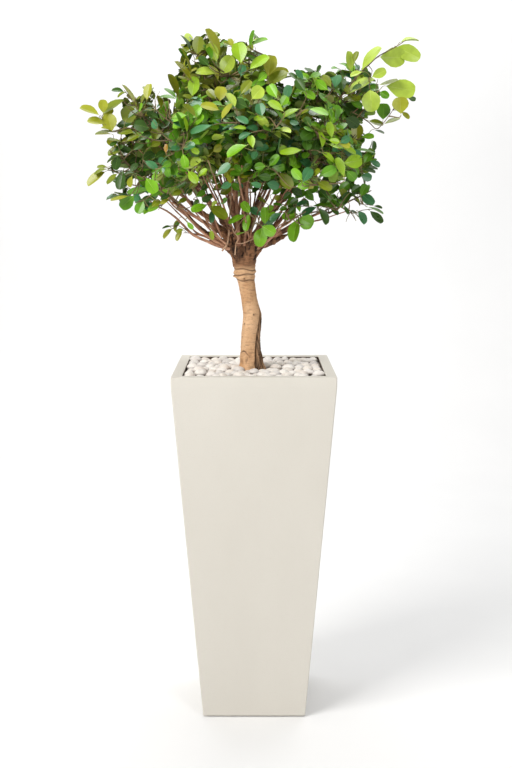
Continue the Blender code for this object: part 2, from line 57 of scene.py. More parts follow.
NOISE_SEED = 5  # without a seed, noise_vector differs from run to run

# Camera, and the picture size that its lens is worked out for.
CAMERA_PLACE = Vector((0.0048, -2.817, 1.312))
CAMERA_DOWN = math.radians(9.286)
LENS = 51.85
SENSOR = 36.0
PICTURE = (512, 768)
FOCAL_PIXELS = 1106.1  # the lens over the sensor, times the picture's height

# Planter, read off the frame where it can be.
PLANTER_LOW, PLANTER_HIGH = (Vector(corner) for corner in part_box("planter"))
PLANTER_HEIGHT = PLANTER_HIGH.z
PLANTER_TOP = PLANTER_HIGH.x - PLANTER_LOW.x
PLANTER_FOOT = 0.264
BAND_HEIGHT = 0.024
RIM_WIDTH = 0.0256
LIP_DEPTH = 0.045
WALL = 0.010
FLOOR = 0.020
EDGE_EASE = 0.0018  # radius of the rounded edges
EASE_STEP = 30.0  # degrees
FOOT_RECESS = 0.007  # the foot is set back behind the sides
FOOT_GAP = 0.0032
CORNER_RADIUS = 0.0032
CORNER_POINTS = 5
GROUND = PLANTER_HEIGHT - LIP_DEPTH

# Pebbles.
PEBBLE_COUNT = 160
PEBBLE_RADIUS = (0.0118, 0.0160)
PEBBLE_FLATNESS = (0.74, 0.92)
PEBBLE_BED = GROUND + 0.0220
PEBBLE_SINK = (0.0010, 0.0045)
PEBBLE_ROUNDS = 260
PEBBLE_SPACING = 1.03  # times the radii of two neighbours
PEBBLE_PUSH = 0.35  # share of an overlap that one round takes away
PEBBLE_WALL = 1.02  # radii between a stone and the wall
TRUNK_FOOT = (-0.003, 0.0)
TRUNK_ROOM = (0.0365, 0.80)  # from the trunk's middle: a length, then a share of the stone's radius
PEBBLE_LENGTH = (1.0, 1.28)
PEBBLE_TILT = 0.22
PEBBLE_SWELLS = ((0.10, 1.1), (0.04, 2.6))  # share of its radius, and fineness
PEBBLE_LIFTS = (0.0, 0.0, 0.0, 0.0035)
PAINTED_SHADE_AT_MIDDLE = 1.05  # how much painted shade a stone has half-way up
PAINTED_SHADE_DOWNWARD = 2.1  # how much more painted shade at its underside
BED_POINTS = 60
BED_CRUMBS = ((0.002, 60), (0.0008, 300))  # height and fineness

# Name of a stone piece, and its colours.
PEBBLE_TONES = (
    ("pebble_white", (0.88, 0.845, 0.800), (0.76, 0.705, 0.655)),
    ("pebble_cream", (0.84, 0.785, 0.725), (0.68, 0.610, 0.550)),
    ("pebble_grey", (0.78, 0.740, 0.710), (0.62, 0.575, 0.540)),
)

# Trunk: height above the ground, sideways offset and radius up to the graft collar.
TRUNK_ROWS = (
    (0.000, 0.0000, 0.0385),
    (0.025, -0.0040, 0.0345),
    (0.052, -0.0080, 0.0285),
    (0.085, -0.0092, 0.0258),
    (0.130, -0.0088, 0.0235),
    (0.178, -0.0054, 0.0225),
    (0.218, -0.0130, 0.0203),
    (0.252, -0.0185, 0.0212),
    (0.272, -0.0228, 0.0225),
    (0.284, -0.0240, 0.0262),
    (0.297, -0.0245, 0.0250),
    (0.310, -0.0245, 0.0305),
)
TRUNK_AROUND = 150
TRUNK_UP = 300
FLARE_TOP = 0.085
FLARE_LOBES = 0.13
FLARE_LOBE_COUNT = 3
FLARE_TURN = 0.6
HEAD = Vector((-0.0250, 0.0, GROUND + 0.340))
HEAD_RADIUS = 0.042

# Boughs.
CLEAR = 0.0003
BOUGH_TIP = 0.0030
BOUGH_BASE = 0.0054
BOUGH_BASE_PER_LENGTH = 0.0056
BOUGH_POINTS = 7
BOUGH_LEAD = 0.010
BOUGH_TAPER = 0.6
BOUGH_RISE = 0.12
BOUGH_HANDLE = 0.26
ANCHOR_SPACING = math.radians(23.0)
ANCHOR_LOWEST = math.radians(20.0)
ANCHOR_ROUNDS = 400
ANCHOR_PUSH = 0.3
ENTRY_DEPTH = 0.015
BOUGH_GIRTHS = {"dome_mid": 1.30, "side_right": 1.25, "low_right": 1.20,
                "side_left": 1.20, "low_left": 1.10}

# How the limbs are drawn: each a slimmer main stem, with thinner ones beside it.
BOUGH_LIFTS = {"low_right": 0.016, "hanging_sprig": 0.009}  # above its solid, midway
BOUGH_STEP = 0.006
BOUGH_SWAY = 0.0030
SWAY_FINENESS = 22.0
BOUGH_SIDES = 10
BOUGH_INWARD = 0.012  # how far its foot goes into the head
SLIM = 0.66
SLIM_LARGE = 0.92  # for the limbs in BOUGH_GIRTHS
SLIM_FROM_TO = (0.05, 0.30)
SPRIG_TAPER = 0.35  # of the masses in HAND_SET, at the tip
SPRIG_FROM_TO = (0.5, 1.0)
BOUGH_FOOT = 1.1  # times its radius

# Numbers that set where each limb reads the noise.
LIMB_SEEDS = 3.3
WIDTH_TO_SEED = 1e3
STEM_TO_SEEDS = (7e3, 9e3)
TWIG_TO_SEED = 9e3
COMPANIONS = 2
COMPANION_START = (0.03, 0.34)  # share of the limb
COMPANION_SPREAD = (0.008, 0.028)  # how far from the limb by its end
COMPANION_RADIUS = (0.0020, 0.0036)
COMPANION_STEPS = 5
COMPANION_STEP = 0.008
COMPANION_SWAY = 0.0035
COMPANION_DEPTH = (0.3, 0.65)  # share of the way from the middle of its mass
COMPANION_TIP = 0.0013
COMPANION_START_OUT = 0.5  # limb radii
COMPANION_PARTING = 1.4  # power of the way that it leaves the limb
COMPANION_GIRTH = 0.7  # of the limb's, at most
COMPANION_TAPER = 0.8
STEM_SIDES = 8
STEM_SWAY = 0.0015
STEM_RELIEF = 0.8
BARK_FINENESS = 95.0
BARK_DEPTHS = (0.0008, 0.0005)

# The head: the feet of the limbs as strands, in one skin.
HEAD_CORE = ((0.026, 0.026, 0.024), 0.020)  # half-sizes, and how far under the middle of the head
HEAD_FOOT = (0.0262, 0.0300, 0.028, 0.312)  # lower and upper radius, height, and middle above the ground
STRAND_RADIUS = 0.0128
STRAND_START = (0.300, 0.42)  # above the ground, and share of the way out
STRAND_WAIST = (0.60, 0.3, 0.010)  # share of the way out, share of the way down, and drop
STRAND_BENDS = (0.5, 0.35)  # shares between the limb's points
STRAND_END = (0.86, 0.75)  # share of the limb's radius, and power of the taper
BUTTRESS_SLOPE = 0.9  # rise over run of the boughs that get one
BUTTRESS_RADIUS = 0.0105
BUTTRESS_START = (0.302, 0.35)
BUTTRESS_WAIST = (0.72, 0.010)
BUTTRESS_END = (0.8, 1.1)
BUTTRESS_PATH = ((0.12, 0.007), (0.28, 0.004), (0.46, 0.0))  # share of the limb, and drop under it
HEAD_VOXEL = 0.0016
HEAD_SOFTEN = (0.6, 5)
HEAD_RIDGES = (0.0036, 0.0013)
HEAD_FINENESS = (120.0, 55.0, 210.0)  # ridges across and up, then knobs
# How much painted shade the dips of the ridges and of the knobs get.
HEAD_SHADE = (2.6, 0.7)

# Foliage: each mass keeps to a boxy ellipsoid, cut off where it meets its neighbours.
SPACE_GAP = 0.0016
SPACE_POWER = 2.25  # over 2 is boxier than an ellipsoid
GOLDEN_ANGLE = math.radians(137.5)
STEM_LEAD = 0.006
STEM_KNEE = 0.2  # share back from the middle of the mass
STEM_END = 0.75  # share of the way out beyond it
STEM_END_RADIUS = 0.0012
STEM_WANDER = (0.004, 5.0)  # how much, and seed
END_TWIG = (0.55, 0.8)  # shares of the stem
TWIG_FIRST_LAST = (0.10, 0.92)
TWIG_LEAN_FIRST_LAST = (84.0, 47.0)
TWIG_SWING = 0.3
TWIG_VOLUME = 0.00030
TWIGS_MIN_MAX = (6, 22)
TWIG_RADII = (0.0017, 0.0009)
SHOOT_RADII = (0.0010, 0.0006)
SHOOT_SPACING = 0.018
SHOOT_LENGTH = (0.030, 0.062)
SHOOT_SHORTEST = 0.012
SHOOT_FIRST_SPAN = (0.25, 0.70)  # share of the twig before the first shoot, and share that carries them
SHOOT_LEAN = (38.0, 62.0)
SHOOT_SWING = 0.5
SHOOT_RISE = 0.25
TWIG_SHORTEST = 0.02
TWIG_SETBACK = 0.5  # leaf lengths inside the outline of its mass
TWIG_CUT = 0.5  # in front of a gap
SHOOT_SETBACK = 0.45
TWIG_BOW = 0.10
SHOOT_BOW = 0.08
TWIG_STEP = 0.012
TWIG_LEAFY_FROM = 0.45
SHOOT_LEAFY_FROM = 0.15
LEAF_LENGTH = 0.0375
LEAF_SPACING = 0.0100
LEAF_LEAN = math.radians(56.0)
LEAF_UPWARD = 0.50
LEAF_OUTWARD = 0.50
LEAF_SWAY = 0.52
LEAF_ELBOW_ROOM = 0.27  # of a leaf's length, to the middle of any other leaf
LEAF_OVERSTEP = 0.013  # past the planes between masses
LEAF_RAGGED = (-0.04, 0.07)  # share past the outline of a mass
LEAF_ASIDE = 0.3  # of its length, from its middle to where its sides are tested
LEAF_SIZES = (0.80, 1.15)
LEAF_SHRINK = 0.22  # towards the end of a shoot
LEAF_END_LEAN = 0.15
LEAF_TRIES = 3
LEAF_WOBBLE = 0.22
LEAF_FLATTENING = 0.8  # how far its axis is turned into the plane that it faces from
SPRAY_SWING = 0.8
UPRIGHT = 0.2  # a shoot this near to vertical has no level side
LEAF_WIDTH = (0.60, 0.80)  # share of its length
LEAF_WIDEST = (1.0, 1.35)  # over 1 moves the widest place towards the tip
LEAF_FOLD = (3.0, 26.0)  # degrees
LEAF_BEND = (-0.08, 0.26)  # share of its length
LEAF_WAVE = 0.04
LEAF_ROUNDNESS = (0.86, 0.55)  # at the root, and how much less at the tip
LIMB_ROOM = 0.006
CELL = 0.03  # of the grid that neighbours are looked up in
PETIOLE = 0.0045
STALK_RADII = (0.0006, 0.0004)
STALK_LAP = 0.001
CROWN_MIDDLE = Vector((-0.02, 0.0, 1.40))

# The pieces whose places are listed.
FRONT_SEARCH = (2.40, 0.010, 90)  # nearest depth, step and number of steps
FRONT_INSET = 0.008
SHOWN_DEPTH_Y = -0.03
SHOWN_SPREAD = 0.030
SHOWN_LEAN = 0.3
SHOWN_PETIOLE = 0.4  # of a petiole
SHOWN_CLEAR = (0.42, 0.4, 0.010)  # share of its length, share of its width, and depth behind it
SHOWN_STEP = 0.006
SHOWN_SWAY = 0.002
JOINT_AIM = Vector((0.0, 0.010, -0.006))
JOINT_BACK = 0.012
JOINT_SHORTEST = 0.0015
JOINT_BEND = 0.35
JOINT_POINTS = 7
JOINT_LONG = 0.03  # from here on it is a twig
JOINT_TWIG = 0.0022
JOINT_SHOOT = (0.0007, 0.010)  # radius, and how much it grows with its length
JOINT_TIP = 0.0008
GAP_CELL = 3.0  # picture points
GAP_EASE = 1.2
ENDLESS = 99.0

# Name: centre of the space, then its half-sizes.
MASSES = {
    "dome_left": ((-0.124, -0.030, 1.634), (0.076, 0.135, 0.104)),
    "dome_mid": ((-0.012, -0.045, 1.628), (0.072, 0.130, 0.104)),
    "dome_back": ((-0.080, 0.165, 1.590), (0.140, 0.125, 0.110)),
    "upper_right": ((0.118, -0.040, 1.548), (0.108, 0.150, 0.094)),
    "right_shoulder": ((0.234, 0.010, 1.566), (0.092, 0.130, 0.094)),
    "sprig_right": ((0.334, -0.030, 1.618), (0.082, 0.085, 0.114)),
    "upper_left": ((-0.262, -0.020, 1.514), (0.112, 0.145, 0.090)),
    "tip_left": ((-0.376, -0.010, 1.542), (0.060, 0.065, 0.054)),
    "front_left": ((-0.160, -0.200, 1.450), (0.130, 0.115, 0.122)),
    "front_mid": ((-0.010, -0.215, 1.455), (0.110, 0.115, 0.124)),
    "front_right": ((0.136, -0.195, 1.430), (0.116, 0.115, 0.116)),
    "side_right": ((0.202, -0.020, 1.430), (0.106, 0.145, 0.110)),
    "side_left": ((-0.300, 0.000, 1.398), (0.100, 0.140, 0.092)),
    "back_left": ((-0.205, 0.195, 1.445), (0.135, 0.120, 0.115)),
    "back_mid": ((-0.020, 0.225, 1.460), (0.115, 0.110, 0.125)),
    "back_right": ((0.160, 0.190, 1.475), (0.125, 0.120, 0.125)),
    "inner_left": ((-0.110, 0.010, 1.450), (0.080, 0.085, 0.074)),
    "inner_right": ((0.055, 0.010, 1.440), (0.080, 0.085, 0.074)),
    "low_left": ((-0.230, -0.095, 1.345), (0.105, 0.105, 0.062)),
    "low_right": ((0.240, -0.035, 1.316), (0.084, 0.105, 0.058)),
    "low_front": ((0.006, -0.125, 1.282), (0.062, 0.070, 0.060)),
    "low_back": ((0.010, 0.145, 1.366), (0.130, 0.080, 0.052)),
    "sprig_front": ((0.098, -0.110, 1.276), (0.046, 0.055, 0.054)),
    "hanging_sprig": ((-0.205, -0.035, 1.246), (0.046, 0.048, 0.036)),
}

# Leaf kinds: upper side, underside, and midrib with stalk.
LEAF_KINDS = {
    "teal": ((0.055, 0.195, 0.070), (0.130, 0.230, 0.085), (0.120, 0.300, 0.110)),
    "dark": ((0.034, 0.092, 0.006), (0.105, 0.150, 0.022), (0.110, 0.230, 0.030)),
    "green": ((0.098, 0.262, 0.010), (0.180, 0.270, 0.032), (0.230, 0.420, 0.050)),
    "fresh": ((0.190, 0.440, 0.014), (0.270, 0.430, 0.048), (0.390, 0.610, 0.110)),
    "spring": ((0.270, 0.455, 0.014), (0.310, 0.450, 0.050), (0.420, 0.600, 0.110)),
    "lime": ((0.400, 0.540, 0.056), (0.410, 0.530, 0.100), (0.540, 0.660, 0.160)),
    "olive": ((0.310, 0.330, 0.018), (0.310, 0.330, 0.042), (0.400, 0.420, 0.070)),
    "moss": ((0.175, 0.222, 0.010), (0.190, 0.212, 0.034), (0.280, 0.315, 0.055)),
    "amber": ((0.300, 0.165, 0.012), (0.300, 0.190, 0.035), (0.380, 0.260, 0.060)),
}

LEAF_GLOSS = {"upper": 0.24, "under": 0.52, "rib": 0.45}  # roughness
LEAF_CLOUDING = 0.16

# Share of sprays of each kind: the usual mix, then the masses that differ from it.
USUAL_MIX = dict(teal=1.7, dark=5.5, green=6.5, fresh=2.6, lime=0.9, olive=0.5, moss=2.4, amber=0.03)
MIXES = {
    "dome_left": dict(teal=1, dark=1.8, green=3.5, spring=3.5, lime=1.8, olive=4, moss=2.5),
    "dome_mid": dict(teal=1.2, dark=1.8, green=3.5, spring=3.5, lime=1.6, olive=3.5, moss=2.5),
    "dome_back": dict(teal=1, dark=3, green=4, fresh=1, lime=1, olive=3),
    "upper_left": dict(teal=1.5, dark=6, green=4, fresh=0.6, olive=0.8, moss=4),
    "side_left": dict(teal=1.5, dark=7, green=3.5, fresh=0.8, moss=3.5),
    "right_shoulder": dict(teal=1.6, dark=2.5, green=6, fresh=3, lime=1.4, olive=1.0),
    "low_right": dict(teal=3, dark=6, green=2.5, fresh=0.8),
    "low_front": dict(green=2, fresh=6, teal=1, lime=0.6),
    "low_left": dict(teal=1.5, dark=3, green=5, fresh=4, moss=2),
    "sprig_front": dict(green=2, fresh=5, teal=1),
    "inner_left": dict(dark=5, green=3, moss=4, olive=1),
}
LEAF_SCALES = {"dome_left": 1.12, "dome_mid": 1.10, "low_right": 0.95}
HAND_SET = ("sprig_right", "tip_left", "hanging_sprig")  # masses whose leaves are all in SPRAYS

# Twigs that show: first and last radius, depth Y, whether they are pale, and picture points. The pale ones
# get a lighter copy of the stem bark, painted light where they stand in the light.
SHOWN_TWIGS = (
    (0.0024, 0.0010, -0.03, False, (
        (330, 106), (345, 92), (355, 79), (363, 70), (370, 64), (380, 55.5), (397, 46), (406, 40),
    )),
    (0.0011, 0.0007, -0.03, False, ((368, 65), (372, 71), (369, 78))),
    (0.0016, 0.0008, -0.03, False, ((352, 112), (368, 121), (376, 129), (383, 123.5), (393, 110))),
    (0.0010, 0.0007, -0.03, False, ((376, 90), (377, 84), (378, 79))),
    (0.0018, 0.0008, -0.03, False, ((140, 130), (126, 128), (112, 131), (104, 124), (99, 116))),
    (0.0012, 0.0007, -0.03, False, ((142, 122), (137, 108), (130, 98), (124, 90))),
    (0.0014, 0.0007, -0.03, False, ((134, 166), (120, 173), (108, 168), (103, 167))),
    (0.0008, 0.0005, -0.05, False, ((155, 108), (156, 100), (160, 91))),
    (0.0010, 0.0006, -0.04, False, ((194, 68), (195, 60), (191, 50), (187, 42))),
    (0.0012, 0.0007, -0.05, False, ((246, 76), (249, 66), (250, 52), (250.5, 44))),
    (0.0022, 0.0010, -0.10, False, ((225, 151), (223, 135), (222, 118), (220.5, 102))),
    (0.0016, 0.0008, -0.10, False, ((223, 131), (231, 119), (236, 106))),
    (0.0012, 0.0008, -0.09, False, ((272, 176), (280, 168))),
    (0.0014, 0.0008, -0.04, False, ((336, 204), (352, 213), (362, 210), (374, 209))),
    (0.0009, 0.0006, -0.04, False, ((350, 213), (347.5, 217), (346, 222))),
    (0.0010, 0.0006, -0.04, False, ((351, 213), (354, 217), (356, 221))),
    (0.0012, 0.0007, -0.04, False, ((352, 213), (347, 208), (343, 204))),
    (0.0010, 0.0006, -0.03, False, ((189, 232.5), (184, 228.5), (177, 225.5), (169, 226))),
    (0.0024, 0.0016, -0.055, True, (
        (222, 251), (227, 244), (229, 232), (229.5, 215), (231, 198), (232.5, 184),
    )),
    (0.0017, 0.0014, -0.062, True, (
        (235, 255), (235.5, 247), (236, 243), (239, 238), (234, 232), (231, 223), (229, 217),
    )),
    (0.0013, 0.0010, -0.066, True, ((235, 233), (239, 225), (243, 219))),
    (0.0014, 0.0010, -0.068, True, ((236, 243), (242, 243.5), (249, 241), (255, 238), (262, 229))),
    (0.0009, 0.0007, -0.055, True, ((257, 249.5), (260, 245), (262, 240))),
    (0.0009, 0.0007, -0.050, True, ((264, 247), (268, 243))),
)

# Stems that show below the leaves: first and last radius, depth Y, and picture points from the head on.
SHOWN_STEMS = (
    (0.0044, 0.0016, -0.035, (
        (230, 249), (219, 246), (210, 242.5), (200, 238.5), (191, 233.5), (183, 225), (175, 217),
        (167, 211), (157, 206), (147, 199),
    )),
    (0.0030, 0.0014, -0.045, (
        (224, 246), (212, 239), (203, 233), (194, 224), (186, 213), (178, 203), (170, 194),
    )),
    (0.0026, 0.0013, -0.060, ((226, 244), (212, 232), (203, 222), (194, 210), (187, 198), (180, 186))),
    (0.0027, 0.0013, -0.020, (
        (222, 245), (208, 238), (196, 232), (187, 222), (178, 213), (168, 203), (159, 195),
    )),
    (0.0023, 0.0012, -0.070, ((221, 240), (210, 226), (203, 213), (198, 200), (192, 188))),
    (0.0022, 0.0012, -0.050, ((222, 238), (217, 226), (213, 214), (207, 203), (202, 192))),
    (0.0050, 0.0036, -0.052, ((239, 246), (238, 230), (237, 216), (236.5, 200), (236, 184))),
    (0.0042, 0.0030, -0.046, ((244, 246), (246, 230), (247, 215), (246.5, 200), (246, 186))),
    (0.0030, 0.0014, -0.045, ((258, 249), (270, 239), (280, 229), (288, 216), (294, 206))),
    (0.0023, 0.0012, -0.055, ((255, 244), (266, 230), (274, 218), (284, 208), (292, 198))),
    (0.0020, 0.0012, -0.050, ((252, 240), (258, 224), (262, 210), (268, 198), (272, 186))),
    (0.0021, 0.0012, -0.030, ((250, 236), (256, 218), (264, 204), (270, 192))),
)

# Leaves that show clearly, in sprays: kind, root u v, tip u v, and width, all in picture points.
SPRAYS = {
    "right_sprig": (
        ("lime", 350, 70, 349, 51, 9), ("moss", 354, 63, 357, 51, 6), ("lime", 362, 70, 376, 44, 10),
        ("lime", 380, 57, 406, 57.5, 20), ("lime", 397, 47, 419, 58, 16), ("lime", 401, 42, 418, 36.5, 3),
        ("lime", 372, 77, 386, 70, 10), ("lime", 386, 86, 415, 91, 19), ("moss", 379, 85, 398, 80.5, 4),
        ("lime", 370, 90, 372, 111, 19), ("lime", 346, 95, 374, 80, 9), ("olive", 401, 114, 400, 97, 17),
        ("olive", 402, 112, 409, 119, 5), ("green", 383, 119.5, 384, 103, 14),
        ("green", 380, 92, 389, 97, 8), ("dark", 408, 98, 416, 99.5, 5), ("moss", 384, 124, 400, 119, 4),
        ("moss", 369, 121, 383, 125, 6), ("dark", 375, 130, 384, 134, 2.5),
        ("olive", 357, 141, 357, 124, 13), ("fresh", 362, 137, 374, 135, 6), ("lime", 362, 72, 350, 75, 5),
        ("dark", 361, 71, 371, 77, 6), ("dark", 345, 78, 340, 70, 3), ("moss", 342, 99, 361, 97, 7),
        ("dark", 341, 104, 364, 117, 15), ("dark", 362, 113, 375, 108, 5), ("moss", 350, 94, 343, 85, 6),
        ("dark", 346, 118, 359, 126, 12), ("green", 350, 101, 362, 108, 7), ("dark", 352, 90, 361, 84, 5),
        ("green", 342, 120, 351, 110, 9),
    ),
    "left_tip": (
        ("olive", 99, 115, 80, 107, 8), ("olive", 103, 113, 103, 99, 10), ("moss", 126, 99, 103, 112, 7),
        ("olive", 103, 115, 113, 109, 8), ("olive", 104, 124, 88, 118, 8),
        ("olive", 112, 131, 107, 114, 16), ("moss", 113, 132, 95, 131, 3),
        ("olive", 111, 134, 96, 132.5, 3), ("olive", 111, 130, 101, 128, 3),
        ("olive", 117, 146, 107, 139, 8), ("moss", 122, 142, 107, 138.5, 3),
        ("moss", 124, 148, 107, 152, 8), ("dark", 120, 156, 106, 160, 2.5), ("dark", 118, 156, 115, 170, 9),
        ("moss", 107, 167, 97, 167, 4), ("moss", 107, 169, 94, 172.5, 3), ("olive", 105, 172, 88, 186, 8),
        ("moss", 117, 174, 106, 183, 5), ("dark", 123, 171, 120, 190, 10), ("dark", 124, 92, 112, 88, 5),
        ("moss", 126, 92, 117, 96, 2), ("olive", 137, 107, 123, 84, 4), ("olive", 147, 100, 150, 84, 8),
        ("moss", 138, 112, 121, 116, 17), ("dark", 154, 106, 146, 101, 3), ("green", 176, 98, 165, 87, 5),
        ("green", 176, 99, 160, 94, 4), ("olive", 161, 109, 159, 95, 6), ("fresh", 163, 122, 166, 101, 10),
        ("dark", 150, 128, 134, 124, 12), ("moss", 134, 133, 117, 128, 9), ("olive", 122, 142, 134, 136, 5),
        ("moss", 163, 133, 150, 134, 12), ("dark", 116, 126, 131, 122, 8), ("dark", 133, 126, 147, 119, 9),
        ("dark", 124, 134, 138, 139, 7), ("moss", 127, 141, 139, 134, 6), ("dark", 140, 140, 150, 132, 7),
        ("dark", 118, 148, 131, 152, 7), ("dark", 133, 150, 143, 143, 7), ("dark", 112, 152, 124, 147, 5),
        ("dark", 116, 163, 126, 157, 7), ("dark", 128, 164, 140, 158, 7), ("dark", 141, 160, 153, 152, 8),
        ("dark", 130, 172, 137, 163, 6), ("dark", 143, 168, 153, 163, 7), ("moss", 150, 147, 160, 141, 7),
        ("dark", 155, 158, 165, 151, 7), ("dark", 158, 118, 147, 112, 7), ("dark", 128, 118, 138, 111, 5),
        ("moss", 143, 128, 133, 131, 5), ("dark", 118, 141, 110, 146, 4), ("dark", 137, 178, 145, 171, 6),
        ("dark", 125, 182, 133, 176, 5), ("green", 161, 168, 152, 173, 6), ("dark", 170, 120, 161, 127, 7),
        ("dark", 168, 141, 159, 136, 7),
    ),
    "dome": (
        ("olive", 191, 76, 187, 46, 4), ("dark", 190, 50, 184, 33, 4.5), ("green", 188, 61, 178, 49, 5),
        ("moss", 197, 54, 199, 36.5, 12), ("olive", 219, 56, 207, 28, 9), ("lime", 217, 62, 209, 43, 11),
        ("green", 212, 60, 204, 45, 6), ("dark", 209, 66, 199, 56, 8), ("spring", 192, 96, 195, 76, 12),
        ("olive", 191, 80, 174, 62, 5), ("olive", 178, 97, 171, 73, 8), ("moss", 188, 80, 178, 77, 3),
        ("olive", 218, 80, 209, 63, 6), ("lime", 215, 74, 196, 68, 9), ("lime", 221, 74, 232, 56, 15),
        ("spring", 241, 63, 238, 41.5, 16), ("moss", 220, 57, 226, 46, 7), ("olive", 232, 47, 230, 37.5, 6),
        ("moss", 232, 46, 223, 42, 4), ("green", 250.5, 48, 255.5, 30.5, 4.5),
        ("fresh", 252, 45, 268, 39, 4), ("spring", 250, 69, 268, 56, 10), ("olive", 268, 76, 272, 54.5, 14),
        ("olive", 268, 77, 288, 69, 9), ("moss", 265, 84, 288, 75, 11), ("teal", 241, 76, 243, 64, 9),
        ("fresh", 258, 81, 266, 73, 8), ("moss", 241, 94, 250, 80, 9), ("green", 250, 86, 265, 81, 8),
        ("lime", 252, 99, 262, 87, 14), ("olive", 220, 101, 221, 85.5, 13),
        ("olive", 219, 110, 202, 102, 8), ("lime", 235, 107, 228, 92, 8), ("moss", 216, 99, 207, 89, 8),
        ("fresh", 277, 98, 269, 85, 11), ("olive", 222, 119, 231, 103, 6),
    ),
    "middle": (
        ("moss", 196, 117, 183, 105, 6), ("spring", 187, 132, 184, 117, 4),
        ("green", 183, 131, 176, 113, 4), ("teal", 212, 125, 190, 131, 7),
        ("spring", 190, 148, 199, 153, 6), ("teal", 235, 117, 248, 123, 7),
        ("spring", 233, 128, 246, 129, 4), ("teal", 251, 133, 239, 138, 6),
        ("spring", 253, 148, 250, 136, 8), ("teal", 262, 116, 259, 103, 11),
        ("spring", 266, 117, 254, 118, 5), ("spring", 283, 111, 269, 101, 8),
        ("spring", 299, 109, 281, 114, 5), ("fresh", 247, 145, 226, 155, 9),
        ("amber", 166, 153, 166, 144, 4), ("fresh", 183, 154, 186, 169, 9),
        ("spring", 188, 171, 197, 182, 9), ("spring", 198, 177, 207, 169, 5),
        ("teal", 217, 175, 230, 164, 8), ("olive", 227, 173, 230, 183, 4), ("teal", 221, 188, 231, 183, 7),
        ("teal", 145, 161, 157, 168, 7), ("green", 162, 167, 171, 162, 7), ("moss", 280, 173, 292, 188, 12),
        ("fresh", 302, 180, 292, 169, 9), ("teal", 303, 182, 311, 167, 11),
        ("fresh", 297, 187, 310, 184, 9), ("green", 319, 176, 336, 168, 11),
        ("moss", 317, 182, 332, 188, 9), ("dark", 258, 176, 271, 178, 8), ("teal", 267, 183, 279, 187, 9),
        ("teal", 251, 183, 261, 186, 6),
    ),
    "right_middle": (
        ("spring", 344, 163, 363, 160, 14), ("spring", 344, 177, 336, 158, 9),
        ("spring", 322, 153, 335, 161, 6), ("spring", 332, 138, 328, 122, 8),
        ("spring", 322, 148, 321, 130, 6), ("spring", 329, 140, 339, 142, 6),
        ("olive", 338, 141, 350, 147, 7), ("spring", 328, 144, 343, 148, 5),
        ("spring", 343, 148, 357, 152, 6), ("spring", 301, 150, 280, 154, 7),
        ("fresh", 309, 109, 329, 111, 7), ("fresh", 303, 91, 315, 98, 8), ("spring", 317, 90, 314, 75, 3.5),
        ("fresh", 328, 90, 316, 81, 9), ("moss", 331, 87, 322, 74, 9), ("teal", 335, 88, 338, 73.5, 9),
        ("dark", 343, 91, 341, 78, 10), ("dark", 305, 91, 296, 79, 10), ("teal", 303, 80, 297, 69.5, 6),
        ("green", 310, 78, 320, 71, 6), ("dark", 298, 81, 290, 71.5, 5), ("teal", 286, 99, 289, 85, 9),
        ("fresh", 281, 106, 287, 96, 9), ("teal", 340, 143, 350, 137, 8),
        ("green", 364, 163, 371, 152.5, 8), ("teal", 370, 161, 380, 166, 6),
        ("dark", 365, 166, 378, 168.5, 3), ("dark", 361, 169, 375, 174, 4), ("teal", 361, 176, 372, 178, 9),
        ("green", 356, 150, 376, 150.5, 3), ("teal", 353, 149, 361, 158, 7),
        ("green", 347, 171, 356, 180, 10),
    ),
    "right_low": (
        ("green", 361, 196, 367, 183, 10), ("teal", 361, 194, 374, 204, 10),
        ("dark", 351, 192, 360, 186, 7), ("moss", 352, 195, 362, 204, 3), ("teal", 358, 211, 367, 223, 8),
        ("dark", 370, 211, 382.5, 222.5, 8), ("green", 368, 207, 384, 211, 2.5),
        ("dark", 374, 206, 382, 209, 3), ("dark", 319, 208, 328, 224, 8), ("teal", 317, 207, 301, 213, 7),
        ("fresh", 299, 218, 313, 225, 16), ("fresh", 298, 219, 291, 240, 12),
        ("fresh", 298, 214, 282, 218, 9), ("dark", 296, 213, 289, 203, 8), ("dark", 330, 208, 339, 213, 5),
        ("green", 322, 207, 337, 196, 12), ("green", 313, 206, 331, 205, 4),
        ("green", 295, 198, 306, 190, 8), ("dark", 344, 206, 349, 214, 4), ("dark", 320, 203, 327, 196, 8),
        ("fresh", 300, 212, 297, 201, 5), ("dark", 336, 206, 347, 197, 10), ("dark", 343, 204, 350, 192, 8),
        ("green", 339, 192, 349, 183, 10), ("dark", 329, 192, 338, 184, 9), ("dark", 353, 187, 347, 177, 9),
        ("dark", 327, 198, 319, 190, 8), ("green", 314, 201, 305, 191, 8), ("dark", 303, 197, 293, 188, 9),
        ("green", 309, 194, 317, 184, 9), ("teal", 296, 206, 307, 201, 5), ("green", 333, 199, 344, 206, 7),
        ("dark", 309, 207, 302, 199, 7), ("moss", 348, 201, 341, 189, 8), ("dark", 290, 196, 281, 190, 7),
        ("green", 286, 206, 295, 198, 7), ("dark", 322, 182, 330, 176, 8), ("green", 353, 178, 345, 170, 9),
        ("dark", 358, 192, 351, 184, 7),
    ),
    "centre_low": (
        ("fresh", 262, 228, 259, 245.5, 14), ("fresh", 262, 226, 275, 234, 12),
        ("fresh", 265, 224, 266, 207, 9), ("teal", 282, 213, 270, 221, 6), ("fresh", 249, 214, 246, 231, 8),
        ("teal", 261, 216, 250, 208, 8), ("fresh", 250, 213, 242, 202, 9), ("fresh", 245, 215, 228, 220, 6),
        ("lime", 252, 178, 241, 182, 4), ("fresh", 265, 212, 273, 206, 6), ("olive", 274, 199, 281, 197, 6),
        ("green", 283, 206, 273, 205, 3), ("green", 240, 190, 232, 184, 7), ("teal", 234, 184, 243, 187, 6),
        ("dark", 262, 190, 271, 185, 6), ("green", 272, 194, 281, 189, 6), ("dark", 283, 199, 291, 193, 7),
        ("moss", 266, 203, 258, 198, 4), ("dark", 290, 204, 298, 199, 6), ("dark", 252, 192, 259, 186, 5),
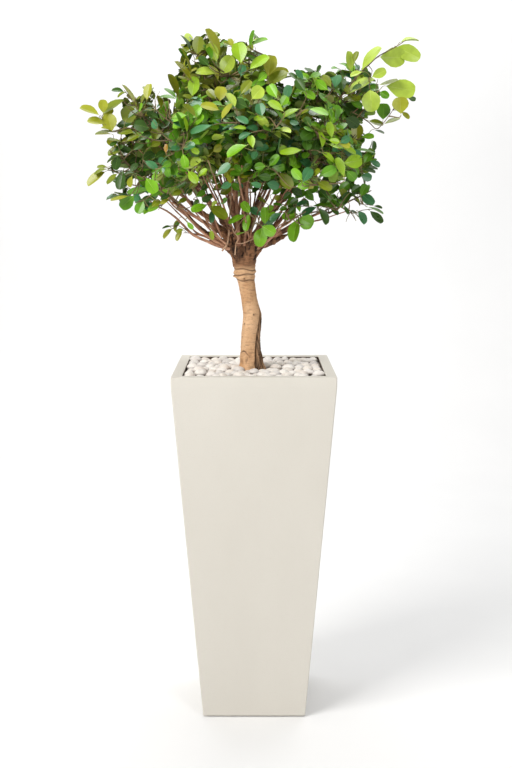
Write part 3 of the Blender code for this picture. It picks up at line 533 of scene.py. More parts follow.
        ("green", 279, 210, 287, 207, 5), ("dark", 288, 214, 295, 208, 6),
    ),
    "left_low": (
        ("green", 134, 196, 121, 208, 13), ("olive", 128, 196, 111, 202, 4),
        ("green", 149, 190, 127, 191, 7), ("fresh", 146, 178, 156, 193, 13),
        ("fresh", 168, 190, 159, 194, 6), ("green", 137, 176, 146, 186, 6),
        ("olive", 132, 176, 129, 187, 6), ("fresh", 207, 205, 191, 210, 8),
        ("moss", 210, 206, 227, 217, 11), ("teal", 211, 211, 212, 222, 6), ("dark", 212, 198, 202, 200, 7),
        ("lime", 212, 207, 216, 200, 4), ("lime", 211, 230, 212, 240, 5), ("fresh", 187, 222, 193, 229, 5),
        ("moss", 220, 194, 230, 188, 8), ("moss", 152, 207, 160, 199, 7), ("dark", 141, 200, 154, 197, 6),
        ("olive", 160, 204, 168, 199, 5), ("green", 150, 196, 160, 190, 7), ("dark", 160, 200, 169, 194, 6),
        ("moss", 172, 196, 181, 190, 6), ("dark", 184, 194, 192, 188, 6), ("green", 196, 197, 205, 191, 6),
        ("dark", 205, 200, 213, 194, 6), ("moss", 213, 190, 221, 185, 6), ("dark", 165, 187, 174, 181, 7),
        ("dark", 176, 188, 186, 182, 6), ("moss", 189, 189, 197, 182, 6), ("dark", 201, 190, 209, 184, 6),
        ("dark", 156, 188, 148, 183, 6), ("moss", 178, 203, 186, 198, 5), ("dark", 193, 205, 199, 200, 4),
        ("green", 221, 204, 227, 198, 5),
    ),
    "hanging": (
        ("olive", 179, 219, 173, 231, 5), ("olive", 172, 229, 162, 237, 5),
        ("dark", 171, 226.5, 162, 227, 2.5), ("moss", 183, 229, 176, 232, 4),
        ("olive", 182, 231, 176, 240, 5), ("green", 174, 228, 180, 222, 4),
    ),
}
# Depth Y of the sprays that stand at one depth. The others lie on the front of the crown.
SPRAY_DEPTHS = {
    "right_sprig": -0.03, "left_tip": -0.02, "hanging": -0.035,
    "centre_low": -0.125, "left_low": -0.095, "right_low": -0.060,
}

# Where the sky shows between the leaves: u, v and radius in picture points.
SKY_GAPS = (
    (168, 56, 10), (176, 41, 9), (186, 26, 9), (199, 30, 5), (213, 22, 8), (223, 34, 6), (236, 30, 8),
    (246, 37, 4), (246, 50, 2.5), (262, 29, 7), (270, 46, 8), (281, 50, 8), (172, 66, 5), (166, 77, 5),
    (181, 69, 3), (193, 33, 3), (183, 79, 3), (228, 52, 4.5), (194, 61, 4.5), (246, 64, 2.5), (258, 46, 6),
    (283, 62, 9), (293, 72, 3), (293, 83, 4), (302, 65, 7), (322, 70, 4), (240, 34, 6), (170, 70, 8),
    (160, 82, 8), (136, 92, 7), (157, 98, 4), (150, 104, 3), (119, 109, 5), (121, 117, 4), (113, 98, 6),
    (100, 145, 9), (102, 160, 8), (106, 176, 5), (149, 137, 2), (134, 158, 3.5), (139, 156, 3),
    (126, 170, 2.5), (112, 186, 6), (134, 183, 4.5), (148, 173, 3), (154, 185, 2.5), (143, 197, 4),
    (357, 104, 4), (372, 118, 7), (364, 123, 4), (368, 131, 4), (318, 118, 4.5), (319, 124, 3),
    (304, 147, 3.5), (314, 151, 3), (344, 135, 2.5), (365, 148, 4), (357, 179, 2.5), (356, 203, 7),
    (344, 217, 9), (362, 200, 3), (372, 192, 5), (381, 180, 9), (306, 203, 5), (313, 194, 4),
    (322, 193, 3.5), (312, 211, 3), (257, 192, 6), (256, 201, 4), (270, 197, 4), (222, 178, 4.5),
    (225, 199, 5), (228, 210, 3.5), (216, 223, 3.5), (184, 208, 5), (191, 215, 4), (172, 212, 3),
    (199, 228, 3), (331, 217, 7), (170, 195, 2.5),
)


# ---------------------------------------------------------------- meshes

class Bunch:
    """Points and faces gathered for one piece, with a material number for each face."""

    def __init__(self):
        self.points = []
        self.faces = []
        self.kinds = []
        self.count = 0

    def add(self, points, faces, kinds=0):
        self.points.append(np.asarray(points, float))
        start = self.count
        self.faces += [tuple(start + i for i in face) for face in faces]
        self.kinds += [kinds] * len(faces) if isinstance(kinds, int) else list(kinds)
        self.count += len(points)

    def piece(self, name, materials, sharp=60.0):
        mesh = bpy.data.meshes.new(name)
        mesh.from_pydata(np.concatenate(self.points).tolist(), [], self.faces)
        for material in materials:
            mesh.materials.append(material)
        mesh.polygons.foreach_set("material_index", self.kinds)
        mesh.shade_smooth()
        mesh.set_sharp_from_angle(angle=math.radians(sharp))
        obj = bpy.data.objects.new(name, mesh)
        bpy.context.scene.collection.objects.link(obj)
        return obj


def belongs(obj, slot, *nodes):
    """Ties a piece to the body and hides the nodes that it stands for. Its slot, the name of its finish, is
    not used.
    """
    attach(obj, "root")
    if nodes:
        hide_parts(*nodes)


def ring_faces(rows, around, caps=True):
    """Faces of a stack of closed rings, numbered ring by ring."""
    faces = []
    for row in range(rows - 1):
        for i in range(around):
            j = (i + 1) % around
            low, high = row * around, (row + 1) * around
            faces.append((low + i, low + j, high + j, high + i))
    if caps:
        faces.append(tuple(reversed(range(around))))
        faces.append(tuple((rows - 1) * around + i for i in range(around)))
    return faces


def smooth_line(points, step):
    """A Catmull-Rom curve through the points, with a point about every step."""
    points = [Vector(point) for point in points]
    padded = [points[0] * 2 - points[1]] + points + [points[-1] * 2 - points[-2]]
    line = []
    for i in range(1, len(padded) - 2):
        p0, p1, p2, p3 = padded[i - 1:i + 3]
        count = max(1, round((p2 - p1).length / step))
        for k in range(count):
            t = k / count
            line.append(0.5 * (
                p1 * 2 + (p2 - p0) * t
                + (p0 * 2 - p1 * 5 + p2 * 4 - p3) * t * t
                + (p1 * 3 - p0 - p2 * 3 + p3) * t ** 3
            ))
    line.append(points[-1])
    return line


def tube_rings(points, radii, sides, relief=None):
    """Rings of points along a line; relief(point, ring number) changes a point's distance."""
    rings = []
    across = None
    for i, (point, radius) in enumerate(zip(points, radii)):
        along = (points[min(i + 1, len(points) - 1)] - points[max(i - 1, 0)]).normalized()
        if across is None:
            across = along.orthogonal().normalized()
        across = (across - along * across.dot(along)).normalized()
        up = along.cross(across)
        for k in range(sides):
            angle = TAU * k / sides
            outward = across * math.cos(angle) + up * math.sin(angle)
            reach = radius
            if relief:
                reach += relief(point + outward * radius, i)
            rings.append(point + outward * reach)
    return rings


def add_tube(bunch, points, radii, sides, relief=None, kind=0):
    rings = tube_rings(points, radii, sides, relief)
    bunch.add(rings, ring_faces(len(points), sides), kind)


def graded(first, last, count, power=1.0):
    return [first + (last - first) * (i / max(1, count - 1)) ** power for i in range(count)]


# ---------------------------------------------------------------- materials

class Recipe:
    """A Principled material whose colour, roughness and relief come from chained nodes."""

    def __init__(self, name, roughness=0.5, specular=0.5):
        self.material = bpy.data.materials.new(name)
        self.material.use_nodes = True
        self.tree = self.material.node_tree
        self.shader = self.tree.nodes["Principled BSDF"]
        self.shader.inputs["Roughness"].default_value = roughness
        self.shader.inputs["Specular IOR Level"].default_value = specular
        self.place = self.node("ShaderNodeTexCoord").outputs["Object"]

    def node(self, kind, inputs=None, **settings):
        made = self.tree.nodes.new(kind)
        for key, value in settings.items():
            setattr(made, key, value)
        for key, value in (inputs or {}).items():
            self.feed(made.inputs[key], value)
        return made

    def feed(self, socket, value):
        if isinstance(value, bpy.types.NodeSocket):
            self.tree.links.new(value, socket)
        elif isinstance(value, tuple) and len(value) == 3 and socket.type == "RGBA":
            socket.default_value = (*value, 1.0)
        else:
            socket.default_value = value

    def see_through_from_behind(self):
        """The backs of the faces let the light through, so that a view from behind isn't blocked."""
        mixed = self.node("ShaderNodeMixShader")
        self.feed(mixed.inputs[0], self.node("ShaderNodeNewGeometry").outputs["Backfacing"])
        self.feed(mixed.inputs[1], self.shader.outputs[0])
        self.feed(mixed.inputs[2], self.node("ShaderNodeBsdfTransparent").outputs[0])
        self.feed(self.tree.nodes["Material Output"].inputs["Surface"], mixed.outputs[0])

    def stretched(self, scale):
        return self.node("ShaderNodeMapping", {"Vector": self.place, "Scale": scale}).outputs[0]

    def noise(self, scale, detail=3.0, rough=0.5, stretch=None, warp=0.0):
        place = self.stretched(stretch) if stretch else self.place
        settings = {"Vector": place, "Scale": scale, "Detail": detail, "Roughness": rough, "Distortion": warp}
        return self.node("ShaderNodeTexNoise", settings).outputs["Fac"]

    def cells(self, scale, stretch=None):
        place = self.stretched(stretch) if stretch else self.place
        return self.node("ShaderNodeTexVoronoi", {"Vector": place, "Scale": scale}).outputs["Distance"]

    def span(self, value, low, high, to_low=0.0, to_high=1.0):
        settings = {"Value": value, "From Min": low, "From Max": high, "To Min": to_low, "To Max": to_high}
        return self.node("ShaderNodeMapRange", settings).outputs["Result"]

    def mix(self, factor, first, second):
        made = self.node("ShaderNodeMix", data_type="RGBA")
        self.feed(made.inputs[0], factor)
        self.feed(made.inputs[6], first)
        self.feed(made.inputs[7], second)
        return made.outputs[2]

    def maths(self, operation, first, second=0.0):
        made = self.node("ShaderNodeMath", operation=operation)
        self.feed(made.inputs[0], first)
        self.feed(made.inputs[1], second)
        return made.outputs[0]

    def attribute(self, name):
        return self.node("ShaderNodeAttribute", attribute_name=name).outputs["Fac"]

    def height(self):
        return self.node("ShaderNodeSeparateXYZ", {"Vector": self.place}).outputs["Z"]

    def colour(self, value):
        self.feed(self.shader.inputs["Base Color"], value)

    def rough(self, value):
        self.feed(self.shader.inputs["Roughness"], value)

    def relief(self, height, distance, strength=1.0):
        settings = {"Height": height, "Distance": distance, "Strength": strength}
        normal = self.node("ShaderNodeBump", settings).outputs["Normal"]
        self.feed(self.shader.inputs["Normal"], normal)


def planter_material():
    """Matte warm cream, with faint mottling and a fine grain."""
    recipe = Recipe("planter_cream", specular=0.35)
    soft = recipe.noise(5.0, 4.0, 0.55, stretch=(1.0, 1.0, 0.45))
    grain = recipe.noise(420.0, 2.0, 0.6)
    shade = recipe.mix(recipe.span(soft, 0.30, 0.70), (0.620, 0.588, 0.524), (0.652, 0.620, 0.556))
    speck = recipe.span(grain, 0.25, 0.45, 0.35, 0.0)
    recipe.colour(recipe.mix(speck, shade, (0.565, 0.528, 0.462)))
    recipe.rough(recipe.span(soft, 0.2, 0.8, 0.50, 0.66))
    recipe.relief(grain, 0.00012, 0.6)
    return recipe.material


def inner_shade_material():
    """Painted shade: the inside of the shell, below its rim, made dark."""
    recipe = Recipe("planter_inner_shade", roughness=0.8, specular=0.3)
    cloud = recipe.noise(60.0, 4.0, 0.6)
    # Dark brown-grey: painted shade on the inner wall, where the rim and the stones shade it.
    recipe.colour(recipe.mix(recipe.span(cloud, 0.3, 0.7), (0.070, 0.050, 0.038), (0.150, 0.115, 0.090)))
    return recipe.material


def pebble_material(name, light, dark):
    """Smooth tumbled stone: a cloudy body with faint veins."""
    recipe = Recipe(name, specular=0.45)
    cloud = recipe.noise(70.0, 4.0, 0.6, warp=0.4)
    vein = recipe.noise(160.0, 6.0, 0.7, warp=1.5)
    body = recipe.mix(recipe.span(cloud, 0.32, 0.70), dark, light)
    body = recipe.mix(recipe.span(vein, 0.60, 0.72, 0.0, 0.35), body, (0.52, 0.43, 0.37))
    # Painted shade: each stone goes dark brown towards its underside, where the stones shade one another.
    recipe.colour(recipe.mix(recipe.attribute("painted_stone_shade"), body, (0.075, 0.048, 0.034)))
    recipe.rough(recipe.span(cloud, 0.2, 0.8, 0.36, 0.55))
    recipe.relief(recipe.noise(900.0, 2.0), 0.00010, 0.5)
    return recipe.material


def soil_material():
    recipe = Recipe("potting_soil", roughness=0.95, specular=0.2)
    crumbs = recipe.cells(260.0)
    cloud = recipe.noise(60.0, 5.0, 0.7)
    recipe.colour(recipe.mix(recipe.span(cloud, 0.3, 0.7), (0.030, 0.020, 0.014), (0.095, 0.065, 0.045)))
    recipe.relief(recipe.maths("ADD", crumbs, cloud), 0.002, 0.9)
    return recipe.material


def bark_material():
    """Tan trunk bark: fine level wrinkles, cork spots, and dark brown from the collar up, with painted shade
    in the wrinkles' creases and from the stored shade mask.
    """
    recipe = Recipe("ficus_bark", specular=0.25)
    patches = recipe.noise(26.0, 4.0, 0.6, stretch=(1.0, 1.0, 0.6))
    wrinkles = recipe.noise(60.0, 5.0, 0.65, stretch=(1.0, 1.0, 7.0), warp=0.3)
    spots = recipe.cells(190.0, stretch=(1.0, 1.0, 1.7))
    tan = recipe.mix(recipe.span(patches, 0.30, 0.70), (0.500, 0.270, 0.125), (0.730, 0.470, 0.275))
    # Painted shade: darker in the wrinkles' creases.
    tan = recipe.mix(recipe.span(wrinkles, 0.52, 0.68, 0.0, 0.6), tan, (0.320, 0.150, 0.070))
    tan = recipe.mix(recipe.span(spots, 0.10, 0.20, 0.60, 0.0), tan, (0.220, 0.100, 0.050))
    woody = recipe.mix(recipe.span(patches, 0.36, 0.60), (0.050, 0.022, 0.012), (0.340, 0.165, 0.080))
    # Painted shade: near black in the wrinkles' creases.
    woody = recipe.mix(recipe.span(wrinkles, 0.50, 0.66, 0.0, 0.7), woody, (0.035, 0.018, 0.012))
    rise = recipe.maths("ADD", recipe.height(), recipe.span(patches, 0.2, 0.8, -0.010, 0.010))
    bark = recipe.mix(recipe.span(rise, GROUND + 0.292, GROUND + 0.306), tan, woody)
    # Painted shade and cork spots, from the mask that the trunk and the head store.
    recipe.colour(recipe.mix(recipe.attribute("cavity"), bark, (0.028, 0.014, 0.009)))
    recipe.rough(recipe.span(patches, 0.2, 0.8, 0.68, 0.88))
    recipe.relief(recipe.maths("SUBTRACT", recipe.noise(300.0, 4.0, 0.7), wrinkles), 0.0012, 0.7)
    return recipe.material


def stem_material(name, light, dark):
    recipe = Recipe(name, roughness=0.7, specular=0.3)
    patches = recipe.noise(34.0, 5.0, 0.65)
    flecks = recipe.cells(420.0, stretch=(1.0, 1.0, 0.6))
    tone = recipe.mix(recipe.span(patches, 0.38, 0.60), dark, light)
    recipe.colour(recipe.mix(recipe.span(flecks, 0.10, 0.25, 0.45, 0.0), tone, tuple(c * 1.5 for c in light)))
    recipe.relief(recipe.noise(500.0, 4.0, 0.7), 0.0006, 0.7)
    return recipe.material


def leaf_material(name, colour, gloss):
    """A leathery leaf side: its plain colour, a little cloudier and rougher here and there."""
    recipe = Recipe(name, specular=0.42)
    cloud = recipe.noise(38.0, 4.0, 0.6)
    darker = tuple(c * (1.0 - LEAF_CLOUDING) for c in colour)
    lighter = tuple(min(1.0, c * (1.0 + LEAF_CLOUDING)) for c in colour)
    recipe.colour(recipe.mix(recipe.span(cloud, 0.32, 0.68), darker, lighter))
    recipe.rough(recipe.span(cloud, 0.2, 0.8, gloss, gloss + 0.14))
    recipe.relief(recipe.noise(240.0, 3.0, 0.6), 0.0004, 0.35)
    return recipe.material


# ---------------------------------------------------------------- planter and filling

def outer_side(z):
    share = min(z / (PLANTER_HEIGHT - BAND_HEIGHT), 1.0)
    return PLANTER_FOOT + (PLANTER_TOP - PLANTER_FOOT) * share


def square_ring(side, z, radius, per_corner):
    """A square with round corners, as points run round its centre."""
    ring = []
    for corner in range(4):
        middle = side / 2 - radius
        sx = (1, -1, -1, 1)[corner]
        sy = (1, 1, -1, -1)[corner]
        for i in range(per_corner):
            angle = math.radians(90.0) * (corner + i / (per_corner - 1))
            ring.append((sx * middle + radius * math.cos(angle), sy * middle + radius * math.sin(angle), z))
    return ring


def make_planter():
    """The tapered shell with its upright band, rounded rim and true hollow."""
    ease = EDGE_EASE
    recess = PLANTER_FOOT - 2 * FOOT_RECESS
    rows = [(recess, 0.0), (recess, FOOT_GAP), (PLANTER_FOOT - 2 * ease, FOOT_GAP)]
    for i in (1, 2, 3):
        angle = math.radians(EASE_STEP * i)
        side = outer_side(0.0) - 2 * ease * (1 - math.sin(angle))
        rows.append((side, FOOT_GAP + ease * (1 - math.cos(angle))))
    band_foot = PLANTER_HEIGHT - BAND_HEIGHT
    rows += [(outer_side(z), z) for z in (0.2, 0.45, 0.7, band_foot - 0.003, band_foot + 0.003)]
    for i in range(4):
        angle = math.radians(EASE_STEP * i)
        side = PLANTER_TOP - 2 * ease * (1 - math.cos(angle))
        rows.append((side, PLANTER_HEIGHT - ease * (1 - math.sin(angle))))
    mouth = PLANTER_TOP - 2 * RIM_WIDTH
    for i in range(4):
        angle = math.radians(EASE_STEP * i)
        side = mouth + 2 * ease * (1 - math.sin(angle))
        rows.append((side, PLANTER_HEIGHT - ease * (1 - math.cos(angle))))
    rows.append((mouth, GROUND))
    rows.append((outer_side(GROUND) - 2 * WALL, GROUND))
    rows.append((outer_side(FLOOR) - 2 * WALL, FLOOR))
    around = 4 * CORNER_POINTS
    bunch = Bunch()
    points = []
    for side, z in rows:
        points += square_ring(side, z, CORNER_RADIUS, CORNER_POINTS)
    faces = ring_faces(len(rows), around)
    # The faces between the last four rings, and the cap on the last, line the hollow and take the dark inner
    # material, painted shade.
    bunch.add(points, faces, [int(min(face) >= (len(rows) - 4) * around) for face in faces])
    planter = bunch.piece("planter_shell", [planter_material(), inner_shade_material()], sharp=35.0)
    weigh = planter.modifiers.new("flat_sides", "WEIGHTED_NORMAL")
    weigh.keep_sharp = True
    belongs(planter, "planter_shell", "planter")


def trunk_reach(height):
    """Sideways offset and radius of the trunk at a height above the ground."""
    heights = [row[0] for row in TRUNK_ROWS]
    return np.interp(height, heights, [row[1] for row in TRUNK_ROWS]), np.interp(
        height, heights, [row[2] for row in TRUNK_ROWS]
    )


def settle(draw):
    """Stones pushed apart over the mouth until they lie side by side round the trunk."""
    half = PLANTER_TOP / 2 - RIM_WIDTH
    radii = np.array([draw.uniform(*PEBBLE_RADIUS) for _ in range(PEBBLE_COUNT)])
    spots = np.array([[draw.uniform(-half, half), draw.uniform(-half, half)] for _ in range(PEBBLE_COUNT)])
    trunk = np.array(TRUNK_FOOT)
    for _ in range(PEBBLE_ROUNDS):
        apart = spots[:, None] - spots[None]
        distance = np.linalg.norm(apart, axis=2) + np.eye(len(spots))
        overlap = np.clip((radii[:, None] + radii[None]) * PEBBLE_SPACING - distance, 0.0, None)
        np.fill_diagonal(overlap, 0.0)
        spots = spots + (apart / distance[..., None] * overlap[..., None]).sum(axis=1) * PEBBLE_PUSH
        off = spots - trunk
        gap = np.linalg.norm(off, axis=1)
        short = np.clip(TRUNK_ROOM[0] + radii * TRUNK_ROOM[1] - gap, 0.0, None)
        spots += off / gap[:, None] * short[:, None]
        inset = radii[:, None] * PEBBLE_WALL
        spots = np.clip(spots, -half + inset, half - inset)
    return spots, radii


def stone_points(draw, radius, subdivided):
    """A rounded, slightly uneven stone on a subdivided ball."""
    flat = draw.uniform(*PEBBLE_FLATNESS)
    long = draw.uniform(*PEBBLE_LENGTH)
    shift = Vector([draw.uniform(-9, 9) for _ in range(3)])
    turn = Matrix.Rotation(draw.uniform(0, TAU), 3, "Z") @ Matrix.Rotation(draw.gauss(0, PEBBLE_TILT), 3, "X")
    turn = turn @ Matrix.Rotation(draw.gauss(0, PEBBLE_TILT), 3, "Y")
    points = []
    for point in subdivided:
        swell = 1.0
        for share, fine in PEBBLE_SWELLS:
            swell += share * noise.noise(point * fine + shift)
        shaped = Vector((point.x * radius * long, point.y * radius, point.z * radius * flat))
        points.append(turn @ shaped * swell)
    return points


def make_pebbles():
    """One layer of tumbled stones in a dark bed, with painted shade on their sides and below."""
    draw = random.Random(7)
    ball = bmesh.new()
    bmesh.ops.create_icosphere(ball, subdivisions=3, radius=1.0)
    sphere = [vert.co.copy() for vert in ball.verts]
    faces = [tuple(vert.index for vert in face.verts) for face in ball.faces]
    ball.free()
    spots, radii = settle(draw)
    stones = [Bunch() for _ in PEBBLE_TONES]
    painted_stone_shade = [[] for _ in stones]
    for (x, y), radius in zip(spots, radii):
        points = stone_points(draw, radius, sphere)
        lowest = min(point.z for point in points)
        lift = PEBBLE_BED - lowest - draw.uniform(*PEBBLE_SINK) + draw.choice(PEBBLE_LIFTS)
        place = Vector((x, y, lift))
        number = draw.randrange(len(stones))
        stones[number].add([point + place for point in points], faces)
        # Painted shade, from none high on a stone to full at its underside.
        shade_amounts = [PAINTED_SHADE_AT_MIDDLE + PAINTED_SHADE_DOWNWARD * point.z / lowest for point in points]
        painted_stone_shade[number] += [min(1.0, max(0.0, amount)) for amount in shade_amounts]
    for bunch, low, (name, light, dark) in zip(stones, painted_stone_shade, PEBBLE_TONES):
        piece = bunch.piece(name, [pebble_material(name, light, dark)])
        store(piece, "painted_stone_shade", low)
        belongs(piece, "pebbles", "pebble_bed")
    make_bed()


def make_bed():
    """The dark crumbly surface that the stones lie in."""
    half = PLANTER_TOP / 2 - RIM_WIDTH - CLEAR
    count = BED_POINTS
    points = []
    for row in range(count):
        for column in range(count):
            x = half * (2 * column / (count - 1) - 1)
            y = half * (2 * row / (count - 1) - 1)
            z = PEBBLE_BED
            for layer, (high, fine) in enumerate(BED_CRUMBS):
                z += high * noise.noise(Vector((x * fine, y * fine, layer)))
            points.append((x, y, z))
    faces = []
    for row in range(count - 1):
        for column in range(count - 1):
            a = row * count + column
            faces.append((a, a + 1, a + count + 1, a + count))
    bunch = Bunch()
    bunch.add(points, faces)
    edge = list(range(count))
    edge += [(row + 1) * count - 1 for row in range(1, count)]
    edge += [count * count - 2 - i for i in range(count - 1)]
    edge += [(count - 2 - row) * count for row in range(count - 2)]
    foot = bunch.count
    bunch.add([(points[i][0], points[i][1], GROUND) for i in edge], [])
    for k, top in enumerate(edge):
        nearby = (k + 1) % len(edge)
        bunch.faces.append((top, foot + k, foot + nearby, edge[nearby]))
        bunch.kinds.append(0)
    bunch.faces.append(tuple(foot + k for k in reversed(range(len(edge)))))
    bunch.kinds.append(0)
    belongs(bunch.piece("soil_surface", [soil_material()]), "potting_soil", "pebble_bed")


# ---------------------------------------------------------------- trunk

GROOVE_PATH = ((0.000, 286.0), (0.035, 292.0), (0.100, 306.0), (0.165, 334.0), (0.205, 346.0))
KNOTS = ((0.178, 283.0, 0.0034), (0.154, 222.0, 0.0032), (0.269, 264.0, 0.0030), (0.268, 212.0, 0.0030),
         (0.120, 210.0, 0.0026), (0.226, 20.0, 0.0030), (0.140, 60.0, 0.0036), (0.205, 130.0, 0.0034),
         (0.095, 150.0, 0.0030), (0.240, 95.0, 0.0028))
CRACK_HEIGHT = 0.077
COLLAR_FOLDS = (0.272, 0.283, 0.296)
TRUNK_ENDS = (-0.002, 0.316)
SMOOTHED = 4  # rows on each side that the profile is averaged over
SMALL_LOBES = 0.07
SMALL_LOBE_COUNT = 7
SMALL_TURN = 1.1
GROOVE_TOP = 0.205
GROOVE_FADE = 0.045
GROOVE_WIDTH = 0.0021
GROOVE_DEPTH = 0.0062
GROOVE_FOOT = (0.01, 0.03, 0.3)  # it fades in from so far under the ground, over so much, from this share
# How dark the painted shade in the groove is.
GROOVE_SHADE = 0.95
LIP = (0.0075, 0.0042, 0.0030)  # beside the groove: how far, how wide, how high
DARK_SIDE = 0.034  # how far round from the groove the bark is dark: partly its own darker bark, partly painted shade on that side
DARK_NEAR = 0.003
DARK_FAR = 0.006
DARK_SHADE = (0.74, 1.3, 0.25, 0.97)  # usual, swing, least and most
RIB_DEPTH = 0.0022
SKIN = (0.0011, 0.00055, 0.00035)  # broad swells, level wrinkles, fine grain
KNOBBLE = 0.0034
KNOBBLE_SHADE = (0.12, 2.2, 0.75)  # level, gain and most of the painted shade in the knobs' dips
# Painted shade in the dips of the level wrinkles: level, gain and most.
RING_SHADE = (0.38, 1.3, 0.30)

# Noise on the trunk: fineness up it and round it, and seed.
TRUNK_NOISES = {
    "ribs": (14.0, 16.0, 60.0),
    "broad": (22.0, 1.1, 3.0),
    "rings": (190.0, 1.3, 40.0),
    "fine": (330.0, 7.0, 80.0),
    "knobbly": (75.0, 4.5, 11.0),
}
CRACK_WIDTH = 0.0016
CRACK_DEPTH = 0.0020
CRACK_STEP = 0.0012
CRACK_EASE = 0.004
# How dark the painted shade in the crack is.
CRACK_SHADE = 0.9
CRACK_WAVES = ((0.006, 2, 0.7), (0.0035, 5, 0.0))  # height, waves round the trunk, and turn
CRACK_BREAKS = (0.55, 0.45, 3, 2.2)  # usual depth, swing, waves and turn
KNOT_RIM = 0.0012
KNOT_RING = (0.9, 0.5)  # how far out the rim is, and how wide, in sizes of the knot
KNOT_HOLLOW = 0.55
# How dark the middle of a knot is, and how wide: painted shade in its hollow, with the scar's own dark.
KNOT_SHADE = (0.85, 0.75)
SPOTS = 150
SPOT_HEIGHTS = (0.01, 0.268)
SPOT_SIZE = (0.0019, 0.0009, 0.00045)  # round the trunk, up it, and off it
SPOT_SHADE = (0.15, 0.45)
FOLD_HEIGHT = 0.0042
FOLD_DEPTH = 0.0034
FOLD_WAVES = ((0.0028, 1, 2.1), (0.0012, 4, 1))  # height, waves round the trunk, and turn from fold to fold
FOLD_BREAKS = (0.7, 0.3, 2, 1.7)  # usual depth, swing, waves and turn
FOLD_SHADE = (0.85, 0.0050, 0.0015)  # how dark the painted shade under a fold is, how far below the fold, and how wide
FLAP = (196.0, 0.2745, 0.0066)  # a flap of bark on the collar: bearing, height and how far it stands off
FLAP_SIZE = (0.35, 0.0028)  # radians round the trunk, and up it


def trunk_noise(heights, angles, up, round_, seed):
    """Smooth noise over the trunk's surface that closes on itself all the way round."""
    field = np.empty((len(heights), len(angles)))
    for row, height in enumerate(heights):
        for column, angle in enumerate(angles):
            spot = Vector((math.cos(angle) * round_, math.sin(angle) * round_, height * up + seed))
            field[row, column] = noise.noise(spot)
    return field


def in_dips(field, level, gain, most):
    """How dark the dips of a noise are."""
    return np.clip((-field - level) * gain, 0.0, most)


def around_from(angles, degrees):
    """Angle from a bearing, in radians, the short way round."""
    return (angles - np.radians(degrees) + math.pi) % TAU - math.pi


